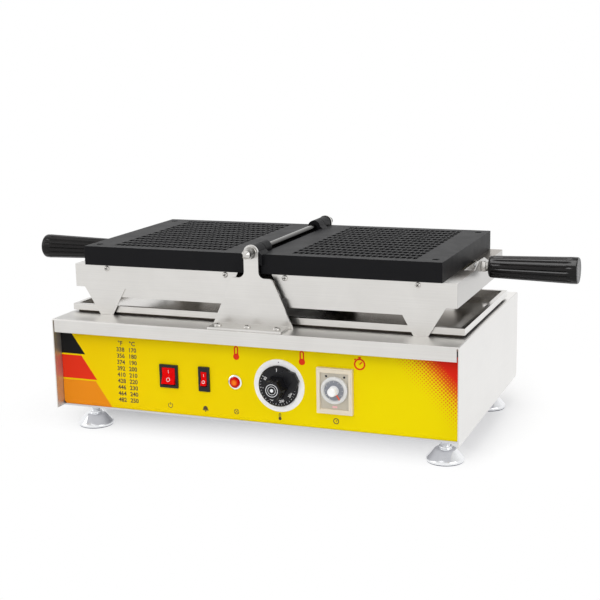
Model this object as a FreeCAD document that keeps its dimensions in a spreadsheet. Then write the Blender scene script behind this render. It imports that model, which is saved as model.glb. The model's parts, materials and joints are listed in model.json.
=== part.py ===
# Waffle cone maker: two lattice plates that open like a book on one shaft, above a sheet-metal base.
# Millimetres. +Z is up, the controls face -Y, and the origin is on the table under the hinge shaft.

import FreeCAD
import Part
import Sketcher
import math
import os
from FreeCAD import Placement, Rotation, Vector

# Driving dimensions
SIZES = [
    # Base housing
    ("base_length", 550.0),
    ("base_depth", 338.0),
    ("base_height", 122.0),
    ("skirt_gap", 35.0),
    ("sheet", 1.5),
    ("bend_radius", 2.0),
    ("lip_height", 18.0),
    ("lip_relief", 1.5),
    ("rear_lip", 12.0),
    ("skirt_corner", 8.0),
    ("floor_edge", 2.4),
    ("floor_flange", 15.0),
    ("panel_recess", 17.0),
    ("panel_flange", 12.0),
    ("panel_corner", 6.0),
    ("panel_clearance", 0.4),
    ("overlay_thickness", 0.5),
    ("rear_recess", 15.0),
    ("vent_length", 60.0),
    ("vent_height", 4.0),
    ("vent_pitch", 12.0),
    ("vent_rows", 5),
    ("vent_offset", 150.0),
    # Levelling feet
    ("foot_radius", 24.0),
    ("foot_edge", 2.0),
    ("foot_rim", 5.0),
    ("foot_shoulder_radius", 13.0),
    ("foot_shoulder", 17.0),
    ("foot_collar_radius", 8.5),
    ("foot_height", 20.0),
    ("foot_stud_radius", 6.0),
    ("foot_stud_reach", 3.0),
    ("foot_inset_side", 29.0),
    ("foot_inset_end", 50.0),
    ("foot_nut_width", 19.0),
    ("foot_nut_height", 10.0),
    ("foot_hole_clearance", 0.6),
    # Hinge
    ("shaft_radius", 4.0),
    ("shaft_rise", 2.5),
    ("running_fit", 0.05),
    ("post_thickness", 3.0),
    ("post_neck_half", 10.0),
    ("post_shoulder_half", 27.0),
    ("post_foot_half", 55.0),
    ("post_neck_length", 32.0),
    ("post_neck_fillet", 8.0),
    ("post_corner", 4.0),
    ("post_flange_half", 50.0),
    ("post_flange_margin", 3.0),
    ("cap_nut_width", 13.0),
    ("cap_nut_height", 9.5),
    ("cap_nut_dome", 8.5),
    ("cap_nut_dome_radius", 5.6),
    ("cap_nut_bevel", 3.0),
    ("cap_nut_thread", 13.0),
    # Plates
    ("plate_inner", 9.5),
    ("plate_length", 234.5),
    ("plate_depth", 257.4),
    ("plate_thickness", 25.0),
    ("knuckle_radius", 9.2),
    ("knuckle_overhang", 5.0),
    ("knuckle_length", 19.5),
    ("knuckle_gap", 0.5),
    ("web_lap", 4.0),
    ("web_depth", 14.0),
    ("cell_columns", 22),
    ("cell_rows", 13),
    ("cell_pitch_across", 7.4),
    ("cell_pitch_along", 17.8),
    ("cell_width", 6.2),
    ("cell_length", 12.4),
    ("cell_depth", 3.5),
    ("cell_draft", 0.9),
    ("plate_screw_radius", 4.5),
    ("plate_screw_depth", 2.5),
    ("plate_screw_inset_end", 13.0),
    ("plate_screw_inset_side", 18.7),
    # Pans
    ("leg_height", 67.0),
    ("pan_overhang", 18.0),
    ("pan_bend", 2.5),
    ("pan_inset", 2.7),
    ("pan_wall_height", 30.5),
    ("pan_hinge_inset", 13.5),
    ("pan_hinge_slant", 13.5),
    ("leg_step", 14.0),
    ("leg_taper_outer", 22.0),
    ("leg_width", 19.0),
    ("leg_taper_inner", 20.0),
    ("shelf_lap", 14.0),
    ("tab_half_base", 38.0),
    ("tab_half_top", 15.0),
    ("tab_rise", 8.0),
    ("cover_drop", 12.0),
    ("cover_lap", 13.5),
    ("cover_hinge_gap", 4.3),
    ("cover_hinge_slant", 3.5),
    ("cover_end_inset", 36.0),
    ("cover_end_slant", 5.0),
    # Heating
    ("heater_radius", 4.25),
    ("heater_spread", 45.0),
    ("heater_corner", 20.0),
    ("heater_run", 195.0),
    ("heater_start", 95.0),
    ("clamp_depth", 230.0),
    # Handles
    ("handle_drop", 1.0),
    ("handle_stud_radius", 4.0),
    ("handle_stud_inside", 7.0),
    ("handle_stud_grip", 32.0),
    ("handle_nut_width", 13.0),
    ("handle_nut_height", 5.0),
    ("collar_radius", 7.0),
    ("collar_length", 10.0),
    ("grip_length", 113.0),
    ("grip_start_radius", 14.0),
    ("grip_end_radius", 17.0),
    ("grip_bevel", 3.0),
    ("flute_count", 16),
    ("flute_width", 2.4),
    ("flute_depth", 1.5),
    ("flute_start", 5.0),
    ("flute_end", 8.0),
    # Drip tray
    ("tray_margin", 8.0),
    ("tray_clearance", 3.0),
    ("tray_height", 11.5),
    ("tray_sheet", 1.2),
    ("tray_hem", 5.0),
    ("tray_hem_gap", 3.0),
    # Controls
    ("control_height", 87.5),
    ("cutout_clearance", 0.3),
    ("switch_bezel", 2.5),
    ("switch_neck_height", 27.0),
    ("switch_depth", 22.0),
    ("switch_side_wall", 3.3),
    ("rocker_clearance", 0.5),
    ("rocker_end_gap", 1.0),
    ("rocker_pivot_radius", 2.0),
    ("rocker_pivot_depth", 1.0),
    ("rocker_pivot_reach", 1.0),
    ("rocker_tilt", -10.0),
    ("rocker_dish", 2.4),
    ("rocker_front", 5.6),
    ("rocker_back", 4.0),
    ("rocker_well", 13.0),
    ("main_switch_x", -113.0),
    ("main_switch_width", 26.0),
    ("main_switch_height", 30.6),
    ("main_rocker_height", 23.6),
    ("alarm_switch_x", -62.6),
    ("alarm_switch_width", 15.4),
    ("alarm_switch_height", 32.4),
    ("alarm_rocker_height", 20.0),
    ("lamp_x", -18.8),
    ("lamp_radius", 9.75),
    ("lamp_bezel", 3.0),
    ("lamp_recess", 2.2),
    ("lamp_neck_radius", 6.0),
    ("lamp_neck_length", 18.0),
    ("lens_radius", 6.5),
    ("lens_height", 5.0),
    ("lens_bevel", 2.5),
    ("dial_x", 41.0),
    ("dial_radius", 34.0),
    ("dial_thickness", 1.2),
    ("knob_gap", 0.5),
    ("knob_radius", 26.4),
    ("knob_thickness", 4.0),
    ("knob_bevel", 1.5),
    ("knob_nose_reach", 29.0),
    ("knob_nose_width", 12.0),
    ("knob_nose_shoulder", 20.0),
    ("knob_nose_root", 28.0),
    ("knob_nose_height", 1.5),
    ("knob_nose_angle", 28.0),
    ("knob_grip_root", 27.0),
    ("knob_grip_end", 22.0),
    ("knob_grip_height", 19.8),
    ("knob_stem_radius", 3.0),
    ("knob_stem_reach", 12.0),
    ("thermostat_radius", 20.0),
    ("thermostat_depth", 28.0),
    ("timer_x", 116.0),
    ("timer_width", 46.5),
    ("timer_height", 58.0),
    ("timer_bezel", 6.0),
    ("timer_face_width", 37.0),
    ("timer_face_height", 46.0),
    ("timer_face_depth", 2.5),
    ("timer_case_width", 44.0),
    ("timer_case_height", 52.0),
    ("timer_case_depth", 40.0),
    ("timer_dial_radius", 17.5),
    ("timer_dial_thickness", 4.0),
    ("timer_dial_gap", 0.4),
    ("timer_dial_rise", 1.5),
    ("timer_stem_radius", 2.0),
    ("timer_stem_reach", 12.0),
    ("timer_knob_radius", 6.0),
    ("timer_knob_height", 9.0),
    ("timer_knob_bevel", 1.0),
    # Electrics inside the base
    ("buzzer_x", -180.0),
    ("buzzer_radius", 15.0),
    ("buzzer_depth", 12.0),
    ("terminal_length", 80.0),
    ("terminal_width", 24.0),
    ("terminal_height", 20.0),
    ("terminal_setback", 40.0),
    ("gland_x", -200.0),
    ("gland_height", 60.0),
    ("gland_radius", 8.0),
    ("gland_nut_radius", 12.0),
    ("gland_nut_length", 5.0),
    ("gland_reach", 24.0),
    ("gland_cap_radius", 10.5),
    ("gland_cap_length", 15.0),
    ("gland_bore", 5.0),
]

doc = FreeCAD.newDocument("waffle_cone_maker")
sheet = doc.addObject("Spreadsheet::Sheet", "sizes")
for row, (alias, number) in enumerate(SIZES, 1):
    sheet.set(f"A{row}", alias)
    sheet.set(f"B{row}", str(number))
    sheet.setAlias(f"B{row}", alias)
doc.recompute()


class Size:
    """A size: its number, and the sheet formula that gives it."""

    def __init__(self, number, formula):
        self.number = float(number)
        self.formula = formula

    def __add__(self, other):
        other = as_size(other)
        return Size(self.number + other.number, f"({self.formula} + {other.formula})")

    def __sub__(self, other):
        other = as_size(other)
        return Size(self.number - other.number, f"({self.formula} - {other.formula})")

    def __mul__(self, factor):
        factor = as_size(factor)
        return Size(self.number * factor.number, f"({self.formula} * {factor.formula})")

    def __truediv__(self, divisor):
        divisor = as_size(divisor)
        return Size(self.number / divisor.number, f"({self.formula} / {divisor.formula})")

    def __neg__(self):
        return Size(-self.number, f"(-1 * {self.formula})")

    __rmul__ = __mul__


def as_size(value):
    if isinstance(value, Size):
        return value
    return Size(value, f"({value:.9f})")


class Named:
    """The sheet's sizes by name."""

    def __getattr__(self, alias):
        return Size(dict(SIZES)[alias], f"sizes.{alias}")


s = Named()


def bind(target, name, size):
    target.setExpression(name, as_size(size).formula)


def new_body(label):
    body = doc.addObject("PartDesign::Body", label)
    body.Label = label
    return body


def origin(body, role):
    return next(item for item in body.Origin.OriginFeatures if item.Role == role)


def new_sketch(body, role, offset):
    sketch = body.newObject("Sketcher::SketchObject", f"{body.Name}_sketch")
    sketch.AttachmentSupport = (origin(body, role), [""])
    sketch.MapMode = "FlatFace"
    bind(sketch, "AttachmentOffset.Base.z", offset)
    return sketch


def top_sketch(body, z):
    """Sketch seen from above: X to the right, Y up the page."""
    return new_sketch(body, "XY_Plane", z)


def front_sketch(body, y):
    """Sketch seen from the front: X to the right, Z up the page. Its normal is -Y."""
    return new_sketch(body, "XZ_Plane", -as_size(y))


def side_sketch(body, x):
    """Sketch seen from the right: Y to the right, Z up the page. Its normal is +X."""
    return new_sketch(body, "YZ_Plane", x)


def pin_point(sketch, geometry, position, x, y):
    for kind, size in (("DistanceX", as_size(x)), ("DistanceY", as_size(y))):
        index = sketch.addConstraint(Sketcher.Constraint(kind, -1, 1, geometry, position, size.number))
        bind(sketch, f"Constraints[{index}]", size)


def chain(sketch, points):
    """Run of joined straight lines. The start of each is fixed by its sizes."""
    corners = [(as_size(x), as_size(y)) for x, y in points]
    vectors = [Vector(x.number, y.number, 0) for x, y in corners]
    first = sketch.GeometryCount
    for start, end in zip(vectors, vectors[1:]):
        sketch.addGeometry(Part.LineSegment(start, end))
    last = sketch.GeometryCount - 1
    for index in range(first, last):
        sketch.addConstraint(Sketcher.Constraint("Coincident", index, 2, index + 1, 1))
    for index, (x, y) in enumerate(corners[:-1]):
        pin_point(sketch, first + index, 1, x, y)
    return first, last


def open_path(sketch, points):
    first, last = chain(sketch, points)
    pin_point(sketch, last, 2, *points[-1])


def polygon(sketch, points):
    first, last = chain(sketch, [*points, points[0]])
    sketch.addConstraint(Sketcher.Constraint("Coincident", last, 2, first, 1))


def rectangle(sketch, left, right, low, high):
    polygon(sketch, [(left, low), (right, low), (right, high), (left, high)])


def centred_rectangle(sketch, x, y, width, height):
    x = as_size(x)
    y = as_size(y)
    rectangle(sketch, x - width / 2, x + width / 2, y - height / 2, y + height / 2)


def circle(sketch, x, y, radius):
    x = as_size(x)
    y = as_size(y)
    centre = Vector(x.number, y.number, 0)
    index = sketch.addGeometry(Part.Circle(centre, Vector(0, 0, 1), radius.number))
    pin_point(sketch, index, 3, x, y)
    constraint = sketch.addConstraint(Sketcher.Constraint("Radius", index, radius.number))
    bind(sketch, f"Constraints[{constraint}]", radius)


def hexagon(sketch, x, y, width):
    """Hexagon given by its width across the flats."""
    reach = width / math.sqrt(3)
    turns = [math.radians(60 * corner) for corner in range(6)]
    polygon(sketch, [(as_size(x) + reach * math.cos(a), as_size(y) + reach * math.sin(a)) for a in turns])


def volume(body):
    return 0.0 if body.Shape.isNull() else body.Shape.Volume


def extrude(body, kind, sketch, length, reverse):
    before = volume(body)
    feature = body.newObject(f"PartDesign::{kind}", f"{body.Name}_{kind.lower()}")
    feature.Profile = sketch
    feature.Reversed = reverse
    bind(feature, "Length", length)
    doc.recompute()
    gained = volume(body) - before
    if gained == 0 or (gained > 0) != (kind == "Pad"):
        raise RuntimeError(f"{feature.Name} changes nothing")
    return feature


def pad(body, sketch, length, reverse=False):
    return extrude(body, "Pad", sketch, length, reverse)


def pocket(body, sketch, length, reverse=False):
    return extrude(body, "Pocket", sketch, length, reverse)


def revolve(body, sketch, axis):
    feature = body.newObject("PartDesign::Revolution", f"{body.Name}_revolution")
    feature.Profile = sketch
    feature.ReferenceAxis = (sketch, [axis])
    feature.Angle = 360
    doc.recompute()
    return feature


def dress_edges(body, kind, measure, size, chosen):
    """Fillet or chamfer the edges for which chosen(middle, direction) is true."""
    base = body.Tip
    names = []
    for index, edge in enumerate(base.Shape.Edges, 1):
        middle = edge.valueAt((edge.FirstParameter + edge.LastParameter) / 2)
        direction = edge.tangentAt((edge.FirstParameter + edge.LastParameter) / 2)
        if chosen(middle, direction):
            names.append(f"Edge{index}")
    feature = body.newObject(f"PartDesign::{kind}", f"{body.Name}_{kind.lower()}")
    feature.Base = (base, names)
    bind(feature, measure, size)
    doc.recompute()
    return feature


def round_edges(body, radius, chosen):
    return dress_edges(body, "Fillet", "Radius", radius, chosen)


def bevel_edges(body, width, chosen):
    return dress_edges(body, "Chamfer", "Size", width, chosen)


def near(value, size):
    return abs(value - as_size(size).number) < 0.01


def turned_copy(source, label):
    """The same piece, turned half a turn about the vertical axis."""
    body = new_body(label)
    body.BaseFeature = source
    body.Placement = Placement(Vector(0, 0, 0), Rotation(Vector(0, 0, 1), 180))
    doc.recompute()
    return body


def block(label, left, right, front, rear, low, high):
    """Plain rectangular piece."""
    body = new_body(label)
    sketch = top_sketch(body, low)
    rectangle(sketch, left, right, front, rear)
    pad(body, sketch, high - low)
    return body


# Shared places
half_length = s.base_length / 2
half_depth = s.base_depth / 2
base_bottom = s.skirt_gap
base_top = s.skirt_gap + s.base_height
inner_half = half_length - s.sheet
floor_top = base_bottom + s.sheet
panel_face = s.panel_recess - half_depth
overlay_face = panel_face - s.overlay_thickness
panel_half = inner_half - s.panel_clearance
rear_face = half_depth - s.rear_recess
foot_x = half_length - s.foot_inset_side
foot_y = half_depth - s.foot_inset_end
plate_bottom = base_top + s.leg_height
plate_top = plate_bottom + s.plate_thickness
plate_outer = s.plate_inner + s.plate_length
plate_half = s.plate_depth / 2
plate_middle = s.plate_inner + s.plate_length / 2
shaft_height = plate_top + s.shaft_rise
knuckle_end = plate_half + s.knuckle_overhang
post_inner = knuckle_end + s.knuckle_gap
post_outer = post_inner + s.post_thickness
pan_outer = plate_outer + s.pan_overhang
pan_half = plate_half - s.pan_inset
wall_bottom = plate_bottom - s.pan_wall_height
handle_height = plate_bottom - s.handle_drop

# Switch frames and other controls share these openings in the panel and in its overlay
switch_openings = [
    (s.main_switch_x, s.main_switch_width - s.switch_side_wall),
    (s.alarm_switch_x, s.alarm_switch_width - s.switch_side_wall),
]


def cut_control_openings(body, y, depth, reverse):
    sketch = front_sketch(body, y)
    gap = 2 * s.cutout_clearance
    for x, width in switch_openings:
        centred_rectangle(sketch, x, s.control_height, width + gap, s.switch_neck_height + gap)
    case_height = s.timer_case_height + gap
    centred_rectangle(sketch, s.timer_x, s.control_height, s.timer_case_width + gap, case_height)
    circle(sketch, s.lamp_x, s.control_height, s.lamp_neck_radius + s.cutout_clearance)
    circle(sketch, s.dial_x, s.control_height, s.knob_stem_radius + s.cutout_clearance)
    pocket(body, sketch, depth, reverse)


def round_lower_corners(body):
    def lower_corner(middle, direction):
        return near(abs(middle.x), panel_half) and near(middle.z, floor_top) and abs(direction.y) > 0.9

    round_edges(body, s.panel_corner, lower_corner)


# Base cover: top, two sides and a front lip folded from one sheet
base_cover = new_body("base_cover")
sketch = top_sketch(base_cover, base_bottom)
rectangle(sketch, -half_length, half_length, -half_depth, half_depth)
pad(base_cover, sketch, s.base_height)
round_edges(base_cover, s.bend_radius, lambda middle, direction: near(middle.z, base_top))
sketch = top_sketch(base_cover, base_bottom)
rectangle(sketch, -inner_half, inner_half, s.sheet - half_depth, half_depth - s.sheet)
pocket(base_cover, sketch, s.base_height - s.sheet, True)
sketch = front_sketch(base_cover, -half_depth)
rectangle(sketch, -inner_half, inner_half, base_bottom, base_top - s.lip_height)
pocket(base_cover, sketch, s.sheet)
sketch = front_sketch(base_cover, -half_depth)
for side in (-1, 1):
    ends = sorted([side * inner_half, side * (inner_half - s.lip_relief)], key=lambda end: end.number)
    rectangle(sketch, ends[0], ends[1], base_top - s.lip_height, base_top - s.bend_radius)
pocket(base_cover, sketch, s.sheet)
sketch = front_sketch(base_cover, half_depth)
rectangle(sketch, -inner_half, inner_half, base_bottom, base_top - s.rear_lip)
pocket(base_cover, sketch, s.sheet, True)


def rear_skirt_corner(middle, direction):
    return near(middle.y, half_depth) and near(middle.z, base_bottom) and abs(direction.x) > 0.9


round_edges(base_cover, s.skirt_corner, rear_skirt_corner)

# Floor plate with an upturned front edge and two side flanges
base_floor = new_body("base_floor")
sketch = top_sketch(base_floor, base_bottom)
rectangle(sketch, -inner_half, inner_half, overlay_face - s.sheet, rear_face)
pad(base_floor, sketch, s.sheet)
sketch = top_sketch(base_floor, base_bottom)
rectangle(sketch, -inner_half, inner_half, overlay_face - s.sheet, overlay_face)
pad(base_floor, sketch, s.floor_edge)
sketch = top_sketch(base_floor, floor_top)
flange_front = panel_face + s.panel_flange
flange_rear = rear_face - 2 * s.sheet
rectangle(sketch, -inner_half, s.sheet - inner_half, flange_front, flange_rear)
rectangle(sketch, inner_half - s.sheet, inner_half, flange_front, flange_rear)
pad(base_floor, sketch, s.floor_flange)
sketch = top_sketch(base_floor, floor_top)
for side in (-1, 1):
    for end in (-1, 1):
        circle(sketch, side * foot_x, end * foot_y, s.foot_stud_radius + s.foot_hole_clearance)
pocket(base_floor, sketch, s.sheet)

# Control panel: a recessed sheet with a flange under the top
control_panel = new_body("control_panel")
sketch = front_sketch(control_panel, panel_face)
rectangle(sketch, -panel_half, panel_half, floor_top, base_top - s.sheet)
pad(control_panel, sketch, s.sheet, True)
round_lower_corners(control_panel)
sketch = top_sketch(control_panel, base_top - s.sheet)
rectangle(sketch, -panel_half, panel_half, panel_face, panel_face + s.panel_flange)
pad(control_panel, sketch, s.sheet, True)
cut_control_openings(control_panel, panel_face, s.sheet, False)

# Printed overlay on the control panel
panel_overlay = new_body("panel_overlay")
sketch = front_sketch(panel_overlay, panel_face)
rectangle(sketch, -panel_half, panel_half, floor_top, base_top - s.lip_height / 2)
pad(panel_overlay, sketch, s.overlay_thickness)
round_lower_corners(panel_overlay)
cut_control_openings(panel_overlay, panel_face, s.overlay_thickness, True)

# Rear panel with two columns of vents and the cable inlet
rear_panel = new_body("rear_panel")
sketch = front_sketch(rear_panel, rear_face)
rectangle(sketch, -panel_half, panel_half, floor_top, base_top - s.sheet)
pad(rear_panel, sketch, s.sheet)
sketch = front_sketch(rear_panel, rear_face)
circle(sketch, s.gland_x, s.gland_height, s.gland_radius + s.cutout_clearance)
pocket(rear_panel, sketch, s.sheet, True)
vent_low = base_bottom + s.base_height / 2
sketch = front_sketch(rear_panel, rear_face)
for side in (-1, 1):
    centred_rectangle(sketch, side * s.vent_offset, vent_low, s.vent_length, s.vent_height)
vents = pocket(rear_panel, sketch, s.sheet, True)
pattern = rear_panel.newObject("PartDesign::LinearPattern", "rear_panel_vents")
pattern.Originals = [vents]
pattern.Direction = (origin(rear_panel, "Z_Axis"), [""])
bind(pattern, "Length", s.vent_pitch * (s.vent_rows - 1))
bind(pattern, "Occurrences", s.vent_rows)
rear_panel.Tip = pattern
doc.recompute()

# Levelling feet: a bell on a threaded stud, and the nut that each stud turns in
stud_top = floor_top + s.foot_nut_height + s.foot_stud_reach
for end_name, end in (("front", -1), ("rear", 1)):
    for side_name, side in (("left", -1), ("right", 1)):
        foot = new_body(f"foot_{end_name}_{side_name}")
        sketch = front_sketch(foot, 0)
        polygon(sketch, [
            (0, 0),
            (s.foot_radius - s.foot_edge, 0),
            (s.foot_radius, s.foot_edge),
            (s.foot_radius, s.foot_rim),
            (s.foot_shoulder_radius, s.foot_shoulder),
            (s.foot_collar_radius, s.foot_shoulder),
            (s.foot_collar_radius, s.foot_height),
            (s.foot_stud_radius, s.foot_height),
            (s.foot_stud_radius, stud_top),
            (0, stud_top),
        ])
        revolve(foot, sketch, "V_Axis")
        bind(foot, "Placement.Base.x", side * foot_x)
        bind(foot, "Placement.Base.y", end * foot_y)
        nut = new_body(f"foot_nut_{end_name}_{side_name}")
        sketch = top_sketch(nut, floor_top)
        hexagon(sketch, side * foot_x, end * foot_y, s.foot_nut_width)
        circle(sketch, side * foot_x, end * foot_y, s.foot_stud_radius + s.running_fit)
        pad(nut, sketch, s.foot_nut_height)

# Hinge posts: a plate with a round head, a neck, sloping sides and a foot flange
shoulder_height = shaft_height - s.post_neck_length
front_post = new_body("front_post")
sketch = front_sketch(front_post, -post_inner)
polygon(sketch, [
    (-s.post_foot_half, base_top),
    (s.post_foot_half, base_top),
    (s.post_shoulder_half, shoulder_height),
    (s.post_neck_half, shoulder_height),
    (s.post_neck_half, shaft_height),
    (-s.post_neck_half, shaft_height),
    (-s.post_neck_half, shoulder_height),
    (-s.post_shoulder_half, shoulder_height),
])
pad(front_post, sketch, s.post_thickness)


def neck_corner(middle, direction):
    inside = near(abs(middle.x), s.post_neck_half) and near(middle.z, shoulder_height)
    return inside and abs(direction.y) > 0.9


def shoulder_corner(middle, direction):
    outside = near(abs(middle.x), s.post_shoulder_half) and near(middle.z, shoulder_height)
    return outside and abs(direction.y) > 0.9


round_edges(front_post, s.post_neck_fillet, neck_corner)
round_edges(front_post, s.post_corner, shoulder_corner)
sketch = front_sketch(front_post, -post_inner)
circle(sketch, 0, shaft_height, s.post_neck_half)
pad(front_post, sketch, s.post_thickness)
sketch = top_sketch(front_post, base_top)
rectangle(sketch, -s.post_flange_half, s.post_flange_half, s.post_flange_margin - half_depth, -post_outer)
pad(front_post, sketch, s.post_thickness)
sketch = front_sketch(front_post, -post_outer)
circle(sketch, 0, shaft_height, s.shaft_radius + s.running_fit)
pocket(front_post, sketch, s.post_thickness)
turned_copy(front_post, "rear_post")

# Hinge shaft and its two cap nuts
shaft_half = post_outer + s.cap_nut_thread
hinge_shaft = doc.addObject("Part::Cylinder", "hinge_shaft")
hinge_shaft.Label = "hinge_shaft"
hinge_shaft.Placement = Placement(Vector(0, 0, 0), Rotation(Vector(1, 0, 0), -90))
bind(hinge_shaft, "Radius", s.shaft_radius)
bind(hinge_shaft, "Height", 2 * shaft_half)
bind(hinge_shaft, "Placement.Base.y", -shaft_half)
bind(hinge_shaft, "Placement.Base.z", shaft_height)

front_cap_nut = new_body("front_cap_nut")
sketch = front_sketch(front_cap_nut, -post_outer)
hexagon(sketch, 0, shaft_height, s.cap_nut_width)
pad(front_cap_nut, sketch, s.cap_nut_height)
cap_end = post_outer + s.cap_nut_height + s.cap_nut_dome
sketch = front_sketch(front_cap_nut, -post_outer)
circle(sketch, 0, shaft_height, s.cap_nut_dome_radius)
pad(front_cap_nut, sketch, s.cap_nut_height + s.cap_nut_dome)
bevel_edges(front_cap_nut, s.cap_nut_bevel, lambda middle, direction: near(middle.y, -cap_end))
sketch = front_sketch(front_cap_nut, -post_outer)
circle(sketch, 0, shaft_height, s.shaft_radius + s.running_fit)
pocket(front_cap_nut, sketch, s.cap_nut_thread + s.running_fit, True)
turned_copy(front_cap_nut, "rear_cap_nut")

# Plates: a thick slab, two hinge knuckles and the lattice of tapered cells.
# Each plate has an outer knuckle at one end and an inner one at the other, so two of them interleave.
right_plate = new_body("right_plate")
sketch = top_sketch(right_plate, plate_bottom)
rectangle(sketch, s.plate_inner, plate_outer, -plate_half, plate_half)
pad(right_plate, sketch, s.plate_thickness)
outer_length = s.knuckle_overhang + s.knuckle_length
inner_start = knuckle_end - outer_length - 2 * s.knuckle_gap - s.knuckle_length
for start, length in ((-knuckle_end, outer_length), (inner_start, s.knuckle_length)):
    sketch = front_sketch(right_plate, start)
    web_end = s.plate_inner + s.web_lap
    polygon(sketch, [
        (0, shaft_height - s.knuckle_radius),
        (web_end, plate_top - s.web_depth),
        (web_end, plate_top),
        (0, shaft_height + s.knuckle_radius),
    ])
    pad(right_plate, sketch, length, True)
    sketch = front_sketch(right_plate, start)
    circle(sketch, 0, shaft_height, s.knuckle_radius)
    pad(right_plate, sketch, length, True)
sketch = front_sketch(right_plate, -knuckle_end)
circle(sketch, 0, shaft_height, s.shaft_radius + s.running_fit)
pocket(right_plate, sketch, 2 * knuckle_end)
sketch = top_sketch(right_plate, plate_top)
for end in (-1, 1):
    screw_y = end * (plate_half - s.plate_screw_inset_side)
    circle(sketch, plate_outer - s.plate_screw_inset_end, screw_y, s.plate_screw_radius)
pocket(right_plate, sketch, s.plate_screw_depth)

cell = right_plate.newObject("PartDesign::SubtractiveWedge", "right_plate_cell")
cell.AttachmentSupport = (origin(right_plate, "XY_Plane"), [""])
cell.MapMode = "FlatFace"
cell.AttachmentOffset = Placement(Vector(0, 0, 0), Rotation(Vector(1, 0, 0), -90))
across = s.cell_pitch_across * (s.cell_columns - 1)
along = s.cell_pitch_along * (s.cell_rows - 1)
bind(cell, "AttachmentOffset.Base.x", plate_middle - across / 2)
bind(cell, "AttachmentOffset.Base.y", -along / 2)
bind(cell, "AttachmentOffset.Base.z", plate_top)
bind(cell, "Xmin", -s.cell_width / 2)
bind(cell, "Xmax", s.cell_width / 2)
bind(cell, "X2min", s.cell_draft - s.cell_width / 2)
bind(cell, "X2max", s.cell_width / 2 - s.cell_draft)
bind(cell, "Zmin", -s.cell_length / 2)
bind(cell, "Zmax", s.cell_length / 2)
bind(cell, "Z2min", s.cell_draft - s.cell_length / 2)
bind(cell, "Z2max", s.cell_length / 2 - s.cell_draft)
bind(cell, "Ymin", 0)
bind(cell, "Ymax", s.cell_depth)
doc.recompute()
lattice = right_plate.newObject("PartDesign::LinearPattern", "right_plate_lattice")
lattice.Originals = [cell]
lattice.Direction = (origin(right_plate, "X_Axis"), [""])
lattice.Direction2 = (origin(right_plate, "Y_Axis"), [""])
bind(lattice, "Length", across)
bind(lattice, "Occurrences", s.cell_columns)
bind(lattice, "Length2", along)
bind(lattice, "Occurrences2", s.cell_rows)
right_plate.Tip = lattice
doc.recompute()
turned_copy(right_plate, "left_plate")

# Pans: a folded box under each plate, with a pair of tapered legs and a raised tab for the handle
right_pan = new_body("right_pan")
hinge_top = s.plate_inner + s.pan_hinge_inset
hinge_low = hinge_top + s.pan_hinge_slant
leg_outer_top = pan_outer - s.leg_step
leg_outer_foot = leg_outer_top - s.leg_taper_outer
leg_inner_foot = leg_outer_foot - s.leg_width
leg_inner_top = leg_inner_foot - s.leg_taper_inner
sketch = front_sketch(right_pan, -pan_half)
polygon(sketch, [
    (hinge_top, plate_bottom),
    (hinge_low, wall_bottom),
    (hinge_low + s.sheet, wall_bottom),
    (hinge_top + s.sheet, plate_bottom),
])
pad(right_pan, sketch, 2 * pan_half, True)
for y, reverse in ((-pan_half, True), (pan_half, False)):
    sketch = front_sketch(right_pan, y)
    polygon(sketch, [
        (hinge_top, plate_bottom),
        (hinge_low, wall_bottom),
        (leg_inner_top, wall_bottom),
        (leg_inner_foot, base_top),
        (leg_outer_foot, base_top),
        (leg_outer_top, wall_bottom),
        (pan_outer, wall_bottom),
        (pan_outer, plate_bottom),
    ])
    pad(right_pan, sketch, s.sheet, reverse)
sketch = side_sketch(right_pan, pan_outer)
tab_top = plate_bottom + s.tab_rise
polygon(sketch, [
    (-pan_half, wall_bottom),
    (pan_half, wall_bottom),
    (pan_half, plate_bottom),
    (s.tab_half_base, plate_bottom),
    (s.tab_half_top, tab_top),
    (-s.tab_half_top, tab_top),
    (-s.tab_half_base, plate_bottom),
    (-pan_half, plate_bottom),
])
pad(right_pan, sketch, s.sheet, True)
sketch = top_sketch(right_pan, plate_bottom)
shelf_inner = plate_outer - s.shelf_lap
rectangle(sketch, shelf_inner, pan_outer, -pan_half, -s.tab_half_base)
rectangle(sketch, shelf_inner, pan_outer, s.tab_half_base, pan_half)
pad(right_pan, sketch, s.sheet, True)
sketch = side_sketch(right_pan, pan_outer)
circle(sketch, 0, handle_height, s.handle_stud_radius + s.cutout_clearance)
pocket(right_pan, sketch, s.sheet)


def pan_corner(middle, direction):
    return near(middle.x, pan_outer) and near(abs(middle.y), pan_half) and abs(direction.z) > 0.9


round_edges(right_pan, s.pan_bend, pan_corner)
turned_copy(right_pan, "left_pan")

# Bottom covers: a tray that closes each pan from below
cover_bottom = wall_bottom - s.cover_drop
cover_top = wall_bottom + s.cover_lap
cover_inner = hinge_low + s.sheet + s.cover_hinge_gap
cover_outer = pan_outer - s.cover_end_inset
cover_half = pan_half - s.sheet
right_cover = new_body("right_bottom_cover")
sketch = front_sketch(right_cover, -cover_half)
polygon(sketch, [
    (cover_inner, cover_bottom),
    (cover_outer - s.cover_end_slant, cover_bottom),
    (cover_outer, cover_top),
    (cover_inner - s.cover_hinge_slant, cover_top),
])
pad(right_cover, sketch, 2 * cover_half, True)
sketch = top_sketch(right_cover, cover_top)
well_inner = cover_inner + s.sheet
well_outer = cover_outer - s.cover_end_slant - s.sheet
well_half = cover_half - s.sheet
rectangle(sketch, well_inner, well_outer, -well_half, well_half)
pocket(right_cover, sketch, cover_top - cover_bottom - s.sheet)
turned_copy(right_cover, "left_bottom_cover")

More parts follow.
